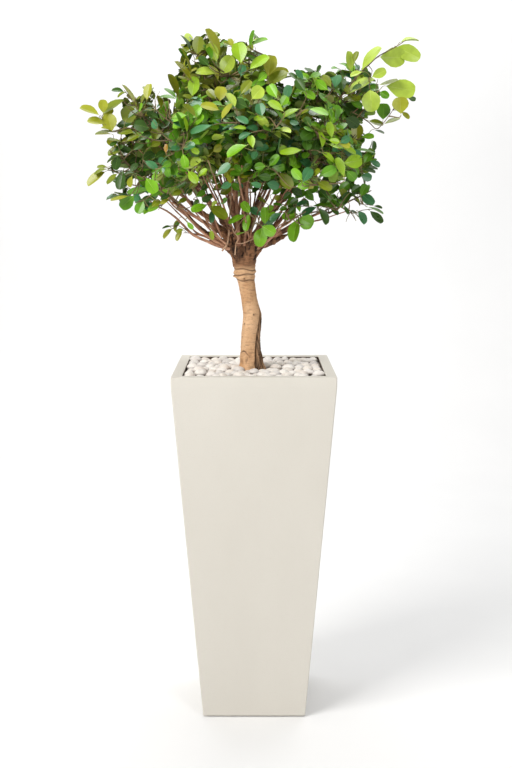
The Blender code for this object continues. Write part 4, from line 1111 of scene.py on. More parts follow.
def make_trunk(bark):
    """The trunk as one fine skin: flare, groove, wrinkles, knots, cork spots and collar folds, with painted
    shade in its groove, cracks, dips, knot hollows and under its folds.
    """
    heights = np.linspace(*TRUNK_ENDS, TRUNK_UP)
    angles = np.linspace(0.0, TAU, TRUNK_AROUND, endpoint=False)
    rise = heights[:, None]
    offset, radius = trunk_reach(np.clip(heights, 0.0, None))
    smooth = np.ones(2 * SMOOTHED + 1) / (2 * SMOOTHED + 1)
    radius = np.convolve(np.pad(radius, SMOOTHED, "edge"), smooth, "valid")[:, None]
    offset = np.convolve(np.pad(offset, SMOOTHED, "edge"), smooth, "valid")
    flare = np.clip(1.0 - rise / FLARE_TOP, 0.0, 1.0)
    reach = radius * (1.0 + FLARE_LOBES * flare * np.cos(FLARE_LOBE_COUNT * angles + FLARE_TURN))
    reach = reach + radius * SMALL_LOBES * flare * np.cos(SMALL_LOBE_COUNT * angles + SMALL_TURN)
    # Darkness for the bark's colour: painted shade in the groove, dips, cracks, knot hollows and under the
    # folds, and the cork spots' own darker colour.
    cavity = np.zeros_like(reach)

    bearing = np.interp(heights, *zip(*GROOVE_PATH))[:, None]
    under, over, least = GROOVE_FOOT
    open_ = np.clip((GROOVE_TOP - rise) / GROOVE_FADE, 0.0, 1.0) * np.clip((rise + under) / over, least, 1.0)
    side = around_from(angles[None], bearing) * radius
    groove = np.exp(-(side / GROOVE_WIDTH) ** 2) * open_
    lip = np.exp(-((side - LIP[0]) / LIP[1]) ** 2) * open_
    reach = reach - GROOVE_DEPTH * groove + LIP[2] * lip
    # Painted shade in the groove.
    cavity = np.maximum(cavity, groove * GROOVE_SHADE)
    # The bark right of the groove is dark and ribbed: partly its own darker bark, partly painted shade on
    # that side.
    beyond = np.clip(side / DARK_NEAR + 0.3, 0.0, 1.0) * np.clip((DARK_SIDE - side) / DARK_FAR, 0.0, 1.0)
    fields = [trunk_noise(heights, angles, *settings) for settings in TRUNK_NOISES.values()]
    ribs, broad, rings, fine, knobbly = fields
    usual, swing, least, most = DARK_SHADE
    cavity = np.maximum(cavity, beyond * open_ * np.clip(usual + swing * ribs, least, most))
    reach = reach + RIB_DEPTH * beyond * open_ * ribs

    reach = reach + SKIN[0] * broad + SKIN[1] * rings + SKIN[2] * fine
    reach = reach + KNOBBLE * np.sqrt(flare) * knobbly
    # Painted shade in the dips of the flare's knobs and of the level wrinkles.
    cavity = np.maximum(cavity, np.sqrt(flare) * in_dips(knobbly, *KNOBBLE_SHADE))
    cavity = np.maximum(cavity, in_dips(rings, *RING_SHADE))

    crack = CRACK_HEIGHT
    for high, count, turn in CRACK_WAVES:
        crack = crack + high * np.sin(angles * count + turn)
    usual, swing, count, turn = CRACK_BREAKS
    cracked = np.exp(-((rise - crack) / CRACK_WIDTH) ** 2) * (usual + swing * np.sin(angles * count + turn))
    reach = reach - CRACK_DEPTH * cracked + CRACK_STEP * np.clip((crack - rise) / CRACK_EASE, 0.0, 1.0)
    # Painted shade in the crack.
    cavity = np.maximum(cavity, cracked * CRACK_SHADE)

    for height, degrees, size in KNOTS:
        away = np.hypot(around_from(angles[None], degrees) * radius, rise - height) / size
        rim = np.exp(-((away - KNOT_RING[0]) / KNOT_RING[1]) ** 2)
        reach = reach + KNOT_RIM * rim - KNOT_RIM * np.exp(-(away / KNOT_HOLLOW) ** 2)
        # Painted shade in the knot's hollow, with the scar's own dark.
        cavity = np.maximum(cavity, KNOT_SHADE[0] * np.exp(-(away / KNOT_SHADE[1]) ** 2))

    draw = random.Random(21)
    for _ in range(SPOTS):
        height = draw.uniform(*SPOT_HEIGHTS)
        spot = around_from(angles[None], draw.uniform(0.0, 360.0)) * radius
        near = np.exp(-(spot / SPOT_SIZE[0]) ** 2 - ((rise - height) / SPOT_SIZE[1]) ** 2)
        reach = reach + SPOT_SIZE[2] * near
        # The cork spots' own darker colour.
        cavity = np.maximum(cavity, draw.uniform(*SPOT_SHADE) * near)

    usual, swing, waves, shift = FOLD_BREAKS
    dark, below, wide = FOLD_SHADE
    for number, level in enumerate(COLLAR_FOLDS):
        for high, count, turn in FOLD_WAVES:
            level = level + high * np.sin(angles * count + number * turn)
        above = rise - level
        ledge = np.exp(-(above / FOLD_HEIGHT) ** 2)
        ledge = ledge * (usual + swing * np.sin(angles * waves + number * shift))
        reach = reach + FOLD_DEPTH * ledge
        # Painted shade under each fold.
        cavity = np.maximum(cavity, dark * np.exp(-((above + below) / wide) ** 2) * ledge.max())
    bearing, height, off = FLAP
    aside = around_from(angles[None], bearing) / FLAP_SIZE[0]
    reach = reach + off * np.exp(-aside ** 2 - ((rise - height) / FLAP_SIZE[1]) ** 2)

    points = np.empty((TRUNK_UP, TRUNK_AROUND, 3))
    points[..., 0] = offset[:, None] + reach * np.cos(angles)
    points[..., 1] = reach * np.sin(angles)
    points[..., 2] = GROUND + rise
    bunch = Bunch()
    bunch.add(points.reshape(-1, 3), ring_faces(TRUNK_UP, TRUNK_AROUND))
    trunk = bunch.piece("bark_trunk", [bark], sharp=80.0)
    store(trunk, "cavity", np.clip(cavity, 0.0, 1.0).reshape(-1))
    belongs(trunk, "bark", "trunk")


def store(obj, name, values):
    layer = obj.data.attributes.new(name, "FLOAT", "POINT")
    layer.data.foreach_set("value", np.asarray(values, np.float32))


# ---------------------------------------------------------------- limbs

class Space:
    """The room of one mass: a boxy ellipsoid cut by planes between it and its neighbours."""

    def __init__(self, centre, half_sizes):
        self.centre = Vector(centre)
        self.half_sizes = Vector(half_sizes)
        self.planes = []

    def measure(self, offset):
        """How far out an offset from the centre lies: 1 on the surface."""
        parts = [abs(o) / h for o, h in zip(offset, self.half_sizes)]
        return sum(part ** SPACE_POWER for part in parts) ** (1.0 / SPACE_POWER)

    def reach(self, direction):
        """Distance from the centre to the surface along a unit vector."""
        return 1.0 / self.measure(direction)

    def part_from(self, other):
        """Adds the plane that keeps this space off another one."""
        across = other.centre - self.centre
        normal = across.normalized()
        mine = self.reach(normal)
        share = mine / (mine + other.reach(normal))
        self.planes.append((self.centre + across * share - normal * SPACE_GAP / 2, normal))

    def holds(self, point, overstep=0.0, ragged=0.0):
        if self.measure(point - self.centre) > 1.0 + ragged:
            return False
        return all((point - spot).dot(normal) < overstep for spot, normal in self.planes)

    def way_out(self, start, direction, step=0.004):
        """How far one can go from a point inside before leaving the space."""
        distance = 0.0
        while self.holds(start + direction * (distance + step)):
            distance += step
        return distance

    def entry(self, source):
        """A point a little inside the side that faces the source."""
        towards = (self.centre - source).normalized()
        to_side = self.way_out(self.centre, -towards)
        return self.centre - towards * max(to_side - ENTRY_DEPTH, to_side * 0.5)

    def volume(self):
        return 4.0 / 3.0 * math.pi * self.half_sizes.x * self.half_sizes.y * self.half_sizes.z


def make_spaces():
    spaces = {name: Space(*sizes) for name, sizes in MASSES.items()}
    for name, space in spaces.items():
        for other_name, other in spaces.items():
            if other_name != name:
                space.part_from(other)
    return spaces


def spread(directions):
    """Unit vectors pushed apart over the head until each bough has room."""
    spots = [direction.normalized() for direction in directions]
    for _ in range(ANCHOR_ROUNDS):
        for i, first in enumerate(spots):
            push = Vector()
            for j, second in enumerate(spots):
                if i == j:
                    continue
                angle = first.angle(second, 0.0)
                if angle < ANCHOR_SPACING:
                    push += (first - second).normalized() * (ANCHOR_SPACING - angle)
            moved = (first + push * ANCHOR_PUSH).normalized()
            moved.z = max(moved.z, math.sin(ANCHOR_LOWEST))
            spots[i] = moved.normalized()
    return spots


def bezier(p0, p1, p2, p3, t):
    """A point of the cubic curve with these four control points."""
    s = 1.0 - t
    return p0 * s**3 + p1 * 3 * s * s * t + p2 * 3 * s * t * t + p3 * t**3


def bough_route(anchor, normal, entry):
    """Points of a limb that leaves the head square and rises into its mass."""
    length = (entry - anchor).length
    arrival = ((entry - anchor).normalized() + Vector((0.0, 0.0, BOUGH_RISE))).normalized()
    start = anchor + normal * BOUGH_LEAD
    end = entry - arrival * BOUGH_LEAD
    handle = length * BOUGH_HANDLE
    points = [anchor]
    for step in range(BOUGH_POINTS - 2):
        t = step / (BOUGH_POINTS - 3)
        points.append(bezier(start, start + normal * handle, end - arrival * handle, end, t))
    points.append(entry)
    return points


def bough_routes(spaces):
    """Name of a mass to the points and radii of its limb, worked out as in the solids."""
    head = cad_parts["trunk"]
    shape = bmesh.new()
    shape.from_mesh(head.data)
    tree = BVHTree.FromBMesh(shape)
    shape.free()
    aims = [space.entry(HEAD) - HEAD for space in spaces.values()]
    routes = {}
    for name, spot in zip(spaces, spread(aims)):
        hit, normal, _, _ = tree.ray_cast(HEAD + spot * HEAD_RADIUS * 2, -spot)
        anchor = hit + normal * CLEAR
        route = bough_route(anchor, normal, spaces[name].entry(HEAD))
        length = (route[-1] - route[0]).length
        base = (BOUGH_BASE + BOUGH_BASE_PER_LENGTH * length) * BOUGH_GIRTHS.get(name, 1.0)
        last = len(route) - 1
        radii = [base + (BOUGH_TIP - base) * (i / last) ** BOUGH_TAPER for i in range(last + 1)]
        routes[name] = (route, radii)
    return routes


def bark_relief(scale, seed):
    """A function that raises and sinks a limb's skin by noise."""
    def relief(point, _):
        spot = point * BARK_FINENESS + Vector((seed, 0.0, 0.0))
        return scale * (BARK_DEPTHS[0] * noise.noise(spot) + BARK_DEPTHS[1] * noise.noise(spot * 2.7))
    return relief


def wandering(line, amount, seed):
    """The same line, a little crooked between its ends."""
    last = len(line) - 1
    moved = []
    for i, point in enumerate(line):
        free = math.sin(math.pi * i / last)
        sway = noise.noise_vector(point * SWAY_FINENESS + Vector((0.0, seed, 0.0)))
        moved.append(point + sway * amount * free)
    return moved


def companion(draw, line, girths, space):
    """A thinner stem that leaves a limb low down, keeps beside it and ends deep in its mass."""
    last = len(line) - 1
    first = draw.uniform(*COMPANION_START)
    width = draw.uniform(*COMPANION_SPREAD)
    across = None
    points = []
    for step in range(COMPANION_STEPS + 1):
        i = min(last, int((first + (1.0 - first) * step / COMPANION_STEPS) * last))
        along = (line[min(i + 2, last)] - line[max(i - 2, 0)]).normalized()
        if across is None:
            across = tilted(along.orthogonal().normalized(), along, draw.uniform(0.0, TAU))
        across = (across - along * across.dot(along)).normalized()
        parted = width * (step / COMPANION_STEPS) ** COMPANION_PARTING
        points.append(line[i] + across * (girths[i] * COMPANION_START_OUT + parted))
    room = space.way_out(space.centre, across)
    points.append(space.centre + across * room * draw.uniform(*COMPANION_DEPTH))
    stem = wandering(smooth_line(points, COMPANION_STEP), COMPANION_SWAY, width * WIDTH_TO_SEED)
    radius = min(girths[int(first * last)] * COMPANION_GIRTH, draw.uniform(*COMPANION_RADIUS))
    return stem, graded(radius, COMPANION_TIP, len(stem), COMPANION_TAPER)


def make_boughs(routes, spaces, stem_bark):
    """Each limb as the bundle of stems that it is: a main one, and thinner ones beside it."""
    draw = random.Random(31)
    bunch = Bunch()
    lines = {}
    stems = []
    for number, (name, (route, radii)) in enumerate(routes.items()):
        lift = Vector((0.0, 0.0, BOUGH_LIFTS.get(name, 0.0)))
        route = [point + lift * math.sin(math.pi * i / (len(route) - 1)) for i, point in enumerate(route)]
        line = wandering(smooth_line(route, BOUGH_STEP), BOUGH_SWAY, number * LIMB_SEEDS)
        shares = np.linspace(0.0, 1.0, len(line))
        slim = SLIM_LARGE if name in BOUGH_GIRTHS else SLIM
        girths = np.interp(shares * (len(radii) - 1), range(len(radii)), radii)
        girths *= np.interp(shares, SLIM_FROM_TO, (1.0, slim))
        if name in HAND_SET:
            girths *= np.interp(shares, SPRIG_FROM_TO, (1.0, SPRIG_TAPER))
        inner = line[0] - (line[1] - line[0]).normalized() * BOUGH_INWARD
        line = [inner] + line
        girths = [girths[0] * BOUGH_FOOT, *girths]
        add_tube(bunch, line, girths, BOUGH_SIDES, bark_relief(1.0, number))
        lines[name] = (line, girths)
        for _ in range(0 if name in HAND_SET else COMPANIONS):
            stem, thin = companion(draw, line, girths, spaces[name])
            relief = bark_relief(STEM_RELIEF, number)
            add_tube(bunch, stem, thin, STEM_SIDES, relief, kind=draw.choice((0, 1)))
            stems.append((stem, thin))
    sway_seed, skin_seed = STEM_TO_SEEDS
    for radius, end_radius, depth_y, places in SHOWN_STEMS:
        stem = smooth_line([at_depth_y(u, v, depth_y) for u, v in places], BOUGH_STEP)
        stem = wandering(stem, STEM_SWAY, radius * sway_seed)
        thin = graded(radius, end_radius, len(stem))
        add_tube(bunch, stem, thin, STEM_SIDES, bark_relief(STEM_RELIEF, radius * skin_seed), kind=1)
        stems.append((stem, thin))
    young_bark = stem_material("young_bark", (0.560, 0.300, 0.185), (0.240, 0.108, 0.062))
    boughs = bunch.piece("bark_boughs", [stem_bark, young_bark], sharp=80.0)
    belongs(boughs, "stem_bark", *BOUGH_NODES)
    return lines, stems


def make_fork(routes, bark):
    """The vase-shaped head: the feet of the boughs as strands that grow into one another."""
    bunch = Bunch()
    shape = bmesh.new()
    sizes, under = HEAD_CORE
    core = Matrix.Translation(HEAD - Vector((0, 0, under))) @ Matrix.Diagonal((*sizes, 1.0))
    bmesh.ops.create_icosphere(shape, subdivisions=3, radius=1.0, matrix=core)
    lower, upper, tall, middle = HEAD_FOOT
    foot = Matrix.Translation((HEAD.x, HEAD.y, GROUND + middle))
    bmesh.ops.create_cone(
        shape, cap_ends=True, segments=24, radius1=lower, radius2=upper, depth=tall, matrix=foot
    )
    faces = [tuple(vert.index for vert in face.verts) for face in shape.faces]
    bunch.add([vert.co.copy() for vert in shape.verts], faces)
    shape.free()
    for route, radii in routes.values():
        outward = route[0] - HEAD
        flat = Vector((outward.x, outward.y, 0.0))
        start = Vector((HEAD.x, HEAD.y, GROUND + STRAND_START[0])) + flat * STRAND_START[1]
        out, down, drop = STRAND_WAIST
        waist = HEAD + flat * out + Vector((0.0, 0.0, min(0.0, outward.z * down) - drop))
        leave = (route[1] - route[0]).normalized()
        line = [start, waist, route[0], route[0] + leave * BOUGH_LEAD]
        line += [route[2].lerp(route[1], STRAND_BENDS[0]), route[2].lerp(route[3], STRAND_BENDS[1])]
        line = smooth_line(line, BOUGH_STEP)
        share, taper = STRAND_END
        add_tube(bunch, line, graded(STRAND_RADIUS, radii[2] * share, len(line), taper), BOUGH_SIDES)
        if outward.z < flat.length * BUTTRESS_SLOPE:
            down = Vector((0.0, 0.0, 1.0))
            out, drop = BUTTRESS_WAIST
            line = [Vector((HEAD.x, HEAD.y, GROUND + BUTTRESS_START[0])) + flat * BUTTRESS_START[1]]
            line.append(HEAD + flat * out - down * drop)
            line += [along_line(route, share) - down * drop for share, drop in BUTTRESS_PATH]
            line = smooth_line(line, BOUGH_STEP)
            share, taper = BUTTRESS_END
            add_tube(bunch, line, graded(BUTTRESS_RADIUS, radii[4] * share, len(line), taper), BOUGH_SIDES)
    fork = bunch.piece("bark_fork", [bark])
    remesh = fork.modifiers.new("one_skin", "REMESH")
    remesh.mode = "VOXEL"
    remesh.voxel_size = HEAD_VOXEL
    soften = fork.modifiers.new("soften", "SMOOTH")
    soften.factor, soften.iterations = HEAD_SOFTEN
    graph = bpy.context.evaluated_depsgraph_get()
    skin = bpy.data.meshes.new_from_object(fork.evaluated_get(graph))
    fork.modifiers.clear()
    fork.data = skin
    skin.name = "bark_fork"
    cavity = []
    normals = [vert.normal.copy() for vert in skin.vertices]
    across, up, fine = HEAD_FINENESS
    for vert, normal in zip(skin.vertices, normals):
        upright = Vector((vert.co.x * across, vert.co.y * across, vert.co.z * up))
        ridges = noise.noise(upright)
        knobs = noise.noise(vert.co * fine)
        # Painted shade in the dips of the ridges and knobs.
        cavity.append(min(1.0, max(0.0, -ridges * HEAD_SHADE[0] - knobs * HEAD_SHADE[1])))
        vert.co += normal * (HEAD_RIDGES[0] * ridges + HEAD_RIDGES[1] * knobs)
    store(fork, "cavity", cavity)
    skin.shade_smooth()
    belongs(fork, "bark", "trunk")


# ---------------------------------------------------------------- foliage

LEAF_STATIONS = (0.0, 0.06, 0.20, 0.40, 0.60, 0.78, 0.91, 0.975, 1.0)
RIB_WIDTH = 0.0009
LEAF_THICKNESS = 0.0007


def leaf_faces():
    """Faces of a leaf as leaf_points numbers it, and the side of each: 0 upper, 1 under, 2 rib."""
    inner = len(LEAF_STATIONS) - 2
    tip = 1 + inner * 5

    def at(station, place):
        return 1 + station * 5 + place

    faces, sides = [], []

    def face(side, *corners):
        faces.append(corners)
        sides.append(side)

    left, rib_left, rib_right, right, under = range(5)
    for a, b, side in ((left, rib_left, 0), (rib_left, rib_right, 2), (rib_right, right, 0)):
        face(side, 0, at(0, b), at(0, a))
        for s in range(inner - 1):
            face(side, at(s, a), at(s, b), at(s + 1, b), at(s + 1, a))
        face(side, at(inner - 1, a), at(inner - 1, b), tip)
    for a, b in ((right, under), (under, left)):
        face(1, 0, at(0, b), at(0, a))
        for s in range(inner - 1):
            face(1, at(s, a), at(s, b), at(s + 1, b), at(s + 1, a))
        face(1, at(inner - 1, a), at(inner - 1, b), tip)
    return faces, sides


LEAF_FACES, LEAF_SIDES = leaf_faces()


def leaf_points(draw, root, axis, facing, length, width=None):
    """An obovate blade from its root: folded along the rib, bent along its length, round at its tip."""
    side = axis.cross(facing).normalized()
    facing = side.cross(axis).normalized()
    width = width or length * draw.uniform(*LEAF_WIDTH)
    widest = draw.uniform(*LEAF_WIDEST)
    fold = math.tan(math.radians(draw.uniform(*LEAF_FOLD)))
    bend = draw.uniform(*LEAF_BEND)
    wave = draw.uniform(-LEAF_WAVE, LEAF_WAVE)
    points = [root]
    for t in LEAF_STATIONS[1:-1]:
        half = width / 2 * math.sin(math.pi * t ** widest) ** (LEAF_ROUNDNESS[0] - LEAF_ROUNDNESS[1] * t)
        middle = root + axis * (t * length) - facing * (bend * t * t * length)
        edge_left = middle - side * half + facing * (half * fold + wave * half)
        edge_right = middle + side * half + facing * (half * fold - wave * half)
        rib = side * min(half * 0.5, RIB_WIDTH / 2 * (1.15 - t))
        points += [edge_left, middle - rib, middle + rib, edge_right, middle - facing * LEAF_THICKNESS]
    points.append(root + axis * length - facing * (bend * length))
    return points


# ---------------------------------------------------------------- lines of sight

AHEAD = Vector((0.0, math.cos(CAMERA_DOWN), -math.sin(CAMERA_DOWN)))
UPWARD = Vector((0.0, math.sin(CAMERA_DOWN), math.cos(CAMERA_DOWN)))


def sight(u, v):
    """The ray through a picture point, one metre long ahead of the camera."""
    right = (u - PICTURE[0] / 2) / FOCAL_PIXELS
    return AHEAD + Vector((right, 0.0, 0.0)) - UPWARD * ((v - PICTURE[1] / 2) / FOCAL_PIXELS)


def picture_point(point):
    """A place's picture coordinates and its depth."""
    offset = point - CAMERA_PLACE
    depth = offset.dot(AHEAD)
    scale = FOCAL_PIXELS / depth
    return PICTURE[0] / 2 + offset.x * scale, PICTURE[1] / 2 - offset.dot(UPWARD) * scale, depth


def at_depth_y(u, v, y):
    """Where the line of sight through a picture point reaches this Y."""
    ray = sight(u, v)
    return CAMERA_PLACE + ray * ((y - CAMERA_PLACE.y) / ray.y)


def front_of(u, v, spaces):
    """How deep the first mass on this line of sight begins, or None."""
    ray = sight(u, v)
    nearest, stride, steps = FRONT_SEARCH
    for step in range(steps):
        depth = nearest + stride * step
        point = CAMERA_PLACE + ray * depth
        if any(space.holds(point) for space in spaces):
            return depth + FRONT_INSET
    return None


class Crown:
    """All the leaves and twigs as they grow: what they may not touch, and the pieces they go to."""

    def __init__(self, limb_tree):
        self.limbs = limb_tree
        self.leaves = {kind: Bunch() for kind in LEAF_KINDS}
        self.twigs = Bunch()
        self.shoots = Bunch()
        self.pale = Bunch()
        self.cells = {}
        self.kept_clear = {}
        self.joints = []
        for u, v, radius in SKY_GAPS:
            self.keep_clear(u, v, radius - GAP_EASE, ENDLESS)

    def keep_clear(self, u, v, radius, depth):
        """Nothing that grows by rule may stand on these lines of sight nearer than this depth."""
        reach = int(radius / GAP_CELL) + 1
        for du in range(-reach, reach + 1):
            for dv in range(-reach, reach + 1):
                if math.hypot(du, dv) * GAP_CELL <= radius + 0.5:
                    cell = (int(u / GAP_CELL) + du, int(v / GAP_CELL) + dv)
                    self.kept_clear[cell] = max(depth, self.kept_clear.get(cell, 0.0))

    def in_view_gap(self, point):
        """Whether a point stands on a line of sight that is kept clear."""
        u, v, depth = picture_point(point)
        return depth < self.kept_clear.get((int(u / GAP_CELL), int(v / GAP_CELL)), 0.0)

    def crowded(self, spot, room):
        """Whether the middle of another leaf is nearer than this."""
        key = tuple(int(c // CELL) for c in spot)
        for dx in (-1, 0, 1):
            for dy in (-1, 0, 1):
                for dz in (-1, 0, 1):
                    for other in self.cells.get((key[0] + dx, key[1] + dy, key[2] + dz), ()):
                        if (other - spot).length < room:
                            return True
        return False

    def add_leaf(self, draw, root, blade, axis, facing, length, kind, width=None):
        middle = blade + axis * length * 0.5
        self.cells.setdefault(tuple(int(c // CELL) for c in middle), []).append(middle)
        bunch = self.leaves[kind]
        bunch.add(leaf_points(draw, blade, axis, facing, length, width), LEAF_FACES, LEAF_SIDES)
        add_tube(bunch, [root, blade + axis * STALK_LAP], STALK_RADII, 3, kind=2)

    def leaf(self, draw, root, axis, facing, length, kind, space):
        """Adds a leaf with its stalk, or skips one that leaves its space or touches something."""
        blade = root + axis * PETIOLE
        middle = blade + axis * length * 0.5
        tip = blade + axis * length
        if self.crowded(middle, length * LEAF_ELBOW_ROOM):
            return False
        ragged = draw.uniform(*LEAF_RAGGED)
        if not (space.holds(tip, LEAF_OVERSTEP, ragged) and space.holds(middle, LEAF_OVERSTEP)):
            return False
        aside = axis.cross(facing).normalized() * length * LEAF_ASIDE
        if any(self.in_view_gap(spot) for spot in (blade, middle, tip, middle + aside, middle - aside)):
            return False
        if self.limbs.find_nearest(middle, LIMB_ROOM)[0] is not None:
            return False
        self.add_leaf(draw, root, blade, axis, facing, length, kind)
        return True

    def shown_leaf(self, draw, spray, spaces, kind, u, v, tip_u, tip_v, width):
        """A leaf that shows at a set place: as deep as the crown's front there, on a shoot of its own."""
        depth_y = SPRAY_DEPTHS.get(spray)
        middle_u, middle_v = (u + tip_u) / 2, (v + tip_v) / 2
        depth = None if depth_y is not None else front_of(middle_u, middle_v, spaces)
        if depth is None:
            place = at_depth_y(middle_u, middle_v, SHOWN_DEPTH_Y if depth_y is None else depth_y)
            depth = (place - CAMERA_PLACE).dot(AHEAD) + draw.uniform(-SHOWN_SPREAD, SHOWN_SPREAD)
        scale = depth / FOCAL_PIXELS
        long = math.hypot(tip_u - u, tip_v - v)
        lean = draw.uniform(-SHOWN_LEAN, SHOWN_LEAN) * long * scale
        blade = CAMERA_PLACE + sight(u, v) * (depth - lean / 2)
        tip = CAMERA_PLACE + sight(tip_u, tip_v) * (depth + lean / 2)
        axis = (tip - blade).normalized()
        length = (tip - blade).length
        full = max(width * scale, length * LEAF_WIDTH[0])
        view = (CAMERA_PLACE - blade).normalized()
        flat_on = (view - axis * view.dot(axis)).normalized()
        turn = math.acos(min(1.0, width * scale / full))
        facing = max((tilted(flat_on, axis, side * turn) for side in (-1.0, 1.0)), key=lambda way: way.z)
        foot = blade - axis * PETIOLE * SHOWN_PETIOLE
        self.add_leaf(draw, foot, blade, axis, facing, length, kind, full)
        reach = max(long * SHOWN_CLEAR[0], width * SHOWN_CLEAR[1])
        self.keep_clear(middle_u, middle_v, reach, depth + SHOWN_CLEAR[2])
        self.joints.append((foot, axis))

    def shown_twig(self, radius, end_radius, depth_y, pale, places):
        """A twig along picture points at one depth. A pale one, painted light with a lighter bark, crosses in
        front of the limbs.
        """
        line = smooth_line([at_depth_y(u, v, depth_y) for u, v in places], SHOWN_STEP)
        if not pale:
            self.joints.append((line[0], (line[1] - line[0]).normalized()))
        bunch = self.pale if pale else self.twigs
        radii = graded(radius, end_radius, len(line))
        add_tube(bunch, wandering(line, SHOWN_SWAY, radius * TWIG_TO_SEED), radii, 6)
        return line

    def tie_joints(self, anchors):
        """A shoot from each shown leaf or twig back to the nearest limb or twig."""
        tree = KDTree(len(anchors))
        for number, anchor in enumerate(anchors):
            tree.insert(anchor, number)
        tree.balance()
        for end, axis in self.joints:
            start = tree.find(end - axis * JOINT_BACK + JOINT_AIM)[0]
            gap = (end - start).length
            if gap < JOINT_SHORTEST:
                continue
            leave, arrive = start.lerp(end, JOINT_BEND), end - axis * gap * JOINT_BEND
            shares = [i / (JOINT_POINTS - 1) for i in range(JOINT_POINTS)]
            line = [bezier(start, leave, arrive, end, share) for share in shares]
            thick = gap > JOINT_LONG
            foot = JOINT_TWIG if thick else JOINT_SHOOT[0] + JOINT_SHOOT[1] * gap
            bunch = self.twigs if thick else self.shoots
            add_tube(bunch, line, graded(foot, JOINT_TIP, JOINT_POINTS), 4)


def tilted(direction, axis, angle):
    return Matrix.Rotation(angle, 3, axis) @ direction


def between(pair, share):
    return pair[0] + (pair[1] - pair[0]) * share


def along_line(points, share):
    """The point at this share of a line of points, counted by its stretches."""
    place = share * (len(points) - 1)
    first = min(int(place), len(points) - 2)
    return points[first].lerp(points[first + 1], place - first)


def pick(draw, mix):
    """A leaf kind for one spray."""
    return draw.choices(list(mix), weights=list(mix.values()))[0]


def bowed(start, direction, length, lift):
    """Three points of a twig that curves upwards a little."""
    end = start + direction * length
    middle = start.lerp(end, 0.5) - Vector((0.0, 0.0, lift * length))
    return [start, middle, end]


def leaf_facing(draw, spot):
    """The way that a leaf's upper side looks: up and outwards, with some scatter."""
    outward = (spot - CROWN_MIDDLE).normalized()
    sway = Vector([draw.gauss(0.0, 1.0) for _ in range(3)])
    return (Vector((0.0, 0.0, LEAF_UPWARD)) + outward * LEAF_OUTWARD + sway * LEAF_SWAY).normalized()


def dress(draw, points, crown, space, kind, scale, first):
    """Leaves on alternate sides along a shoot, smaller towards its end, and one that ends it."""
    length = sum((b - a).length for a, b in zip(points, points[1:]))
    direction = (points[-1] - points[0]).normalized()
    side = direction.cross(Vector((0.0, 0.0, 1.0)))
    if side.length < UPRIGHT:
        side = direction.orthogonal()
    side = tilted(side.normalized(), direction, draw.uniform(-SPRAY_SWING, SPRAY_SWING))
    count = max(1, round(length * (1.0 - first) / LEAF_SPACING))
    for i in range(count + 1):
        share = first + (1.0 - first) * i / count
        spot = along_line(points, share)
        turn = 1 if i % 2 else -1
        lean = LEAF_LEAN if i < count else LEAF_END_LEAN
        outward = direction * math.cos(lean) + side * turn * math.sin(lean)
        size = LEAF_LENGTH * scale * draw.uniform(*LEAF_SIZES) * (1.0 - LEAF_SHRINK * share)
        for _ in range(LEAF_TRIES):
            facing = leaf_facing(draw, spot)
            wobble = Vector([draw.gauss(0.0, LEAF_WOBBLE) for _ in range(3)])
            axis = outward + wobble
            axis = (axis - facing * axis.dot(facing) * LEAF_FLATTENING).normalized()
            if crown.leaf(draw, spot, axis, facing, size, kind, space):
                break


def grow_twigs(name, space, line, crown):
    """The stem of one mass, from the tip of its bough, and the twigs round it."""
    draw = random.Random(name)
    scale = LEAF_SCALES.get(name, 1.0)
    tip = line[-1]
    arrival = (line[-1] - line[-3]).normalized()
    knee = tip + arrival * STEM_LEAD
    onward = (space.centre - knee).normalized()
    middle = space.centre.lerp(knee, STEM_KNEE)
    end = space.centre + onward * space.way_out(space.centre, onward) * STEM_END
    stem = smooth_line([tip, knee, middle, end], TWIG_STEP)
    radii = graded(BOUGH_TIP, STEM_END_RADIUS, len(stem))
    add_tube(crown.twigs, wandering(stem, *STEM_WANDER), radii, 6)
    count = round(space.volume() / TWIG_VOLUME)
    count = max(TWIGS_MIN_MAX[0], min(TWIGS_MIN_MAX[1], count))
    twigs = [[along_line(stem, share) for share in END_TWIG] + [end]]
    for i in range(count):
        share = i / (count - 1)
        start = along_line(stem, between(TWIG_FIRST_LAST, share))
        azimuth = GOLDEN_ANGLE * i + draw.uniform(-TWIG_SWING, TWIG_SWING)
        lean = math.radians(between(TWIG_LEAN_FIRST_LAST, share))
        across = tilted(onward.orthogonal().normalized(), onward, azimuth)
        direction = (onward * math.cos(lean) + across * math.sin(lean)).normalized()
        room = space.way_out(start, direction)
        length = room - LEAF_LENGTH * scale * TWIG_SETBACK
        if length < TWIG_SHORTEST:
            continue
        twig = bowed(start, direction, length, TWIG_BOW)
        if any(crown.in_view_gap(along_line(twig, k / 4)) for k in (1, 2, 3, 4)):
            twig = bowed(start, direction, length * TWIG_CUT, TWIG_BOW)
        line = smooth_line(twig, TWIG_STEP)
        add_tube(crown.twigs, line, graded(*TWIG_RADII, len(line)), 5)
        twigs.append(twig)
    return stem, twigs


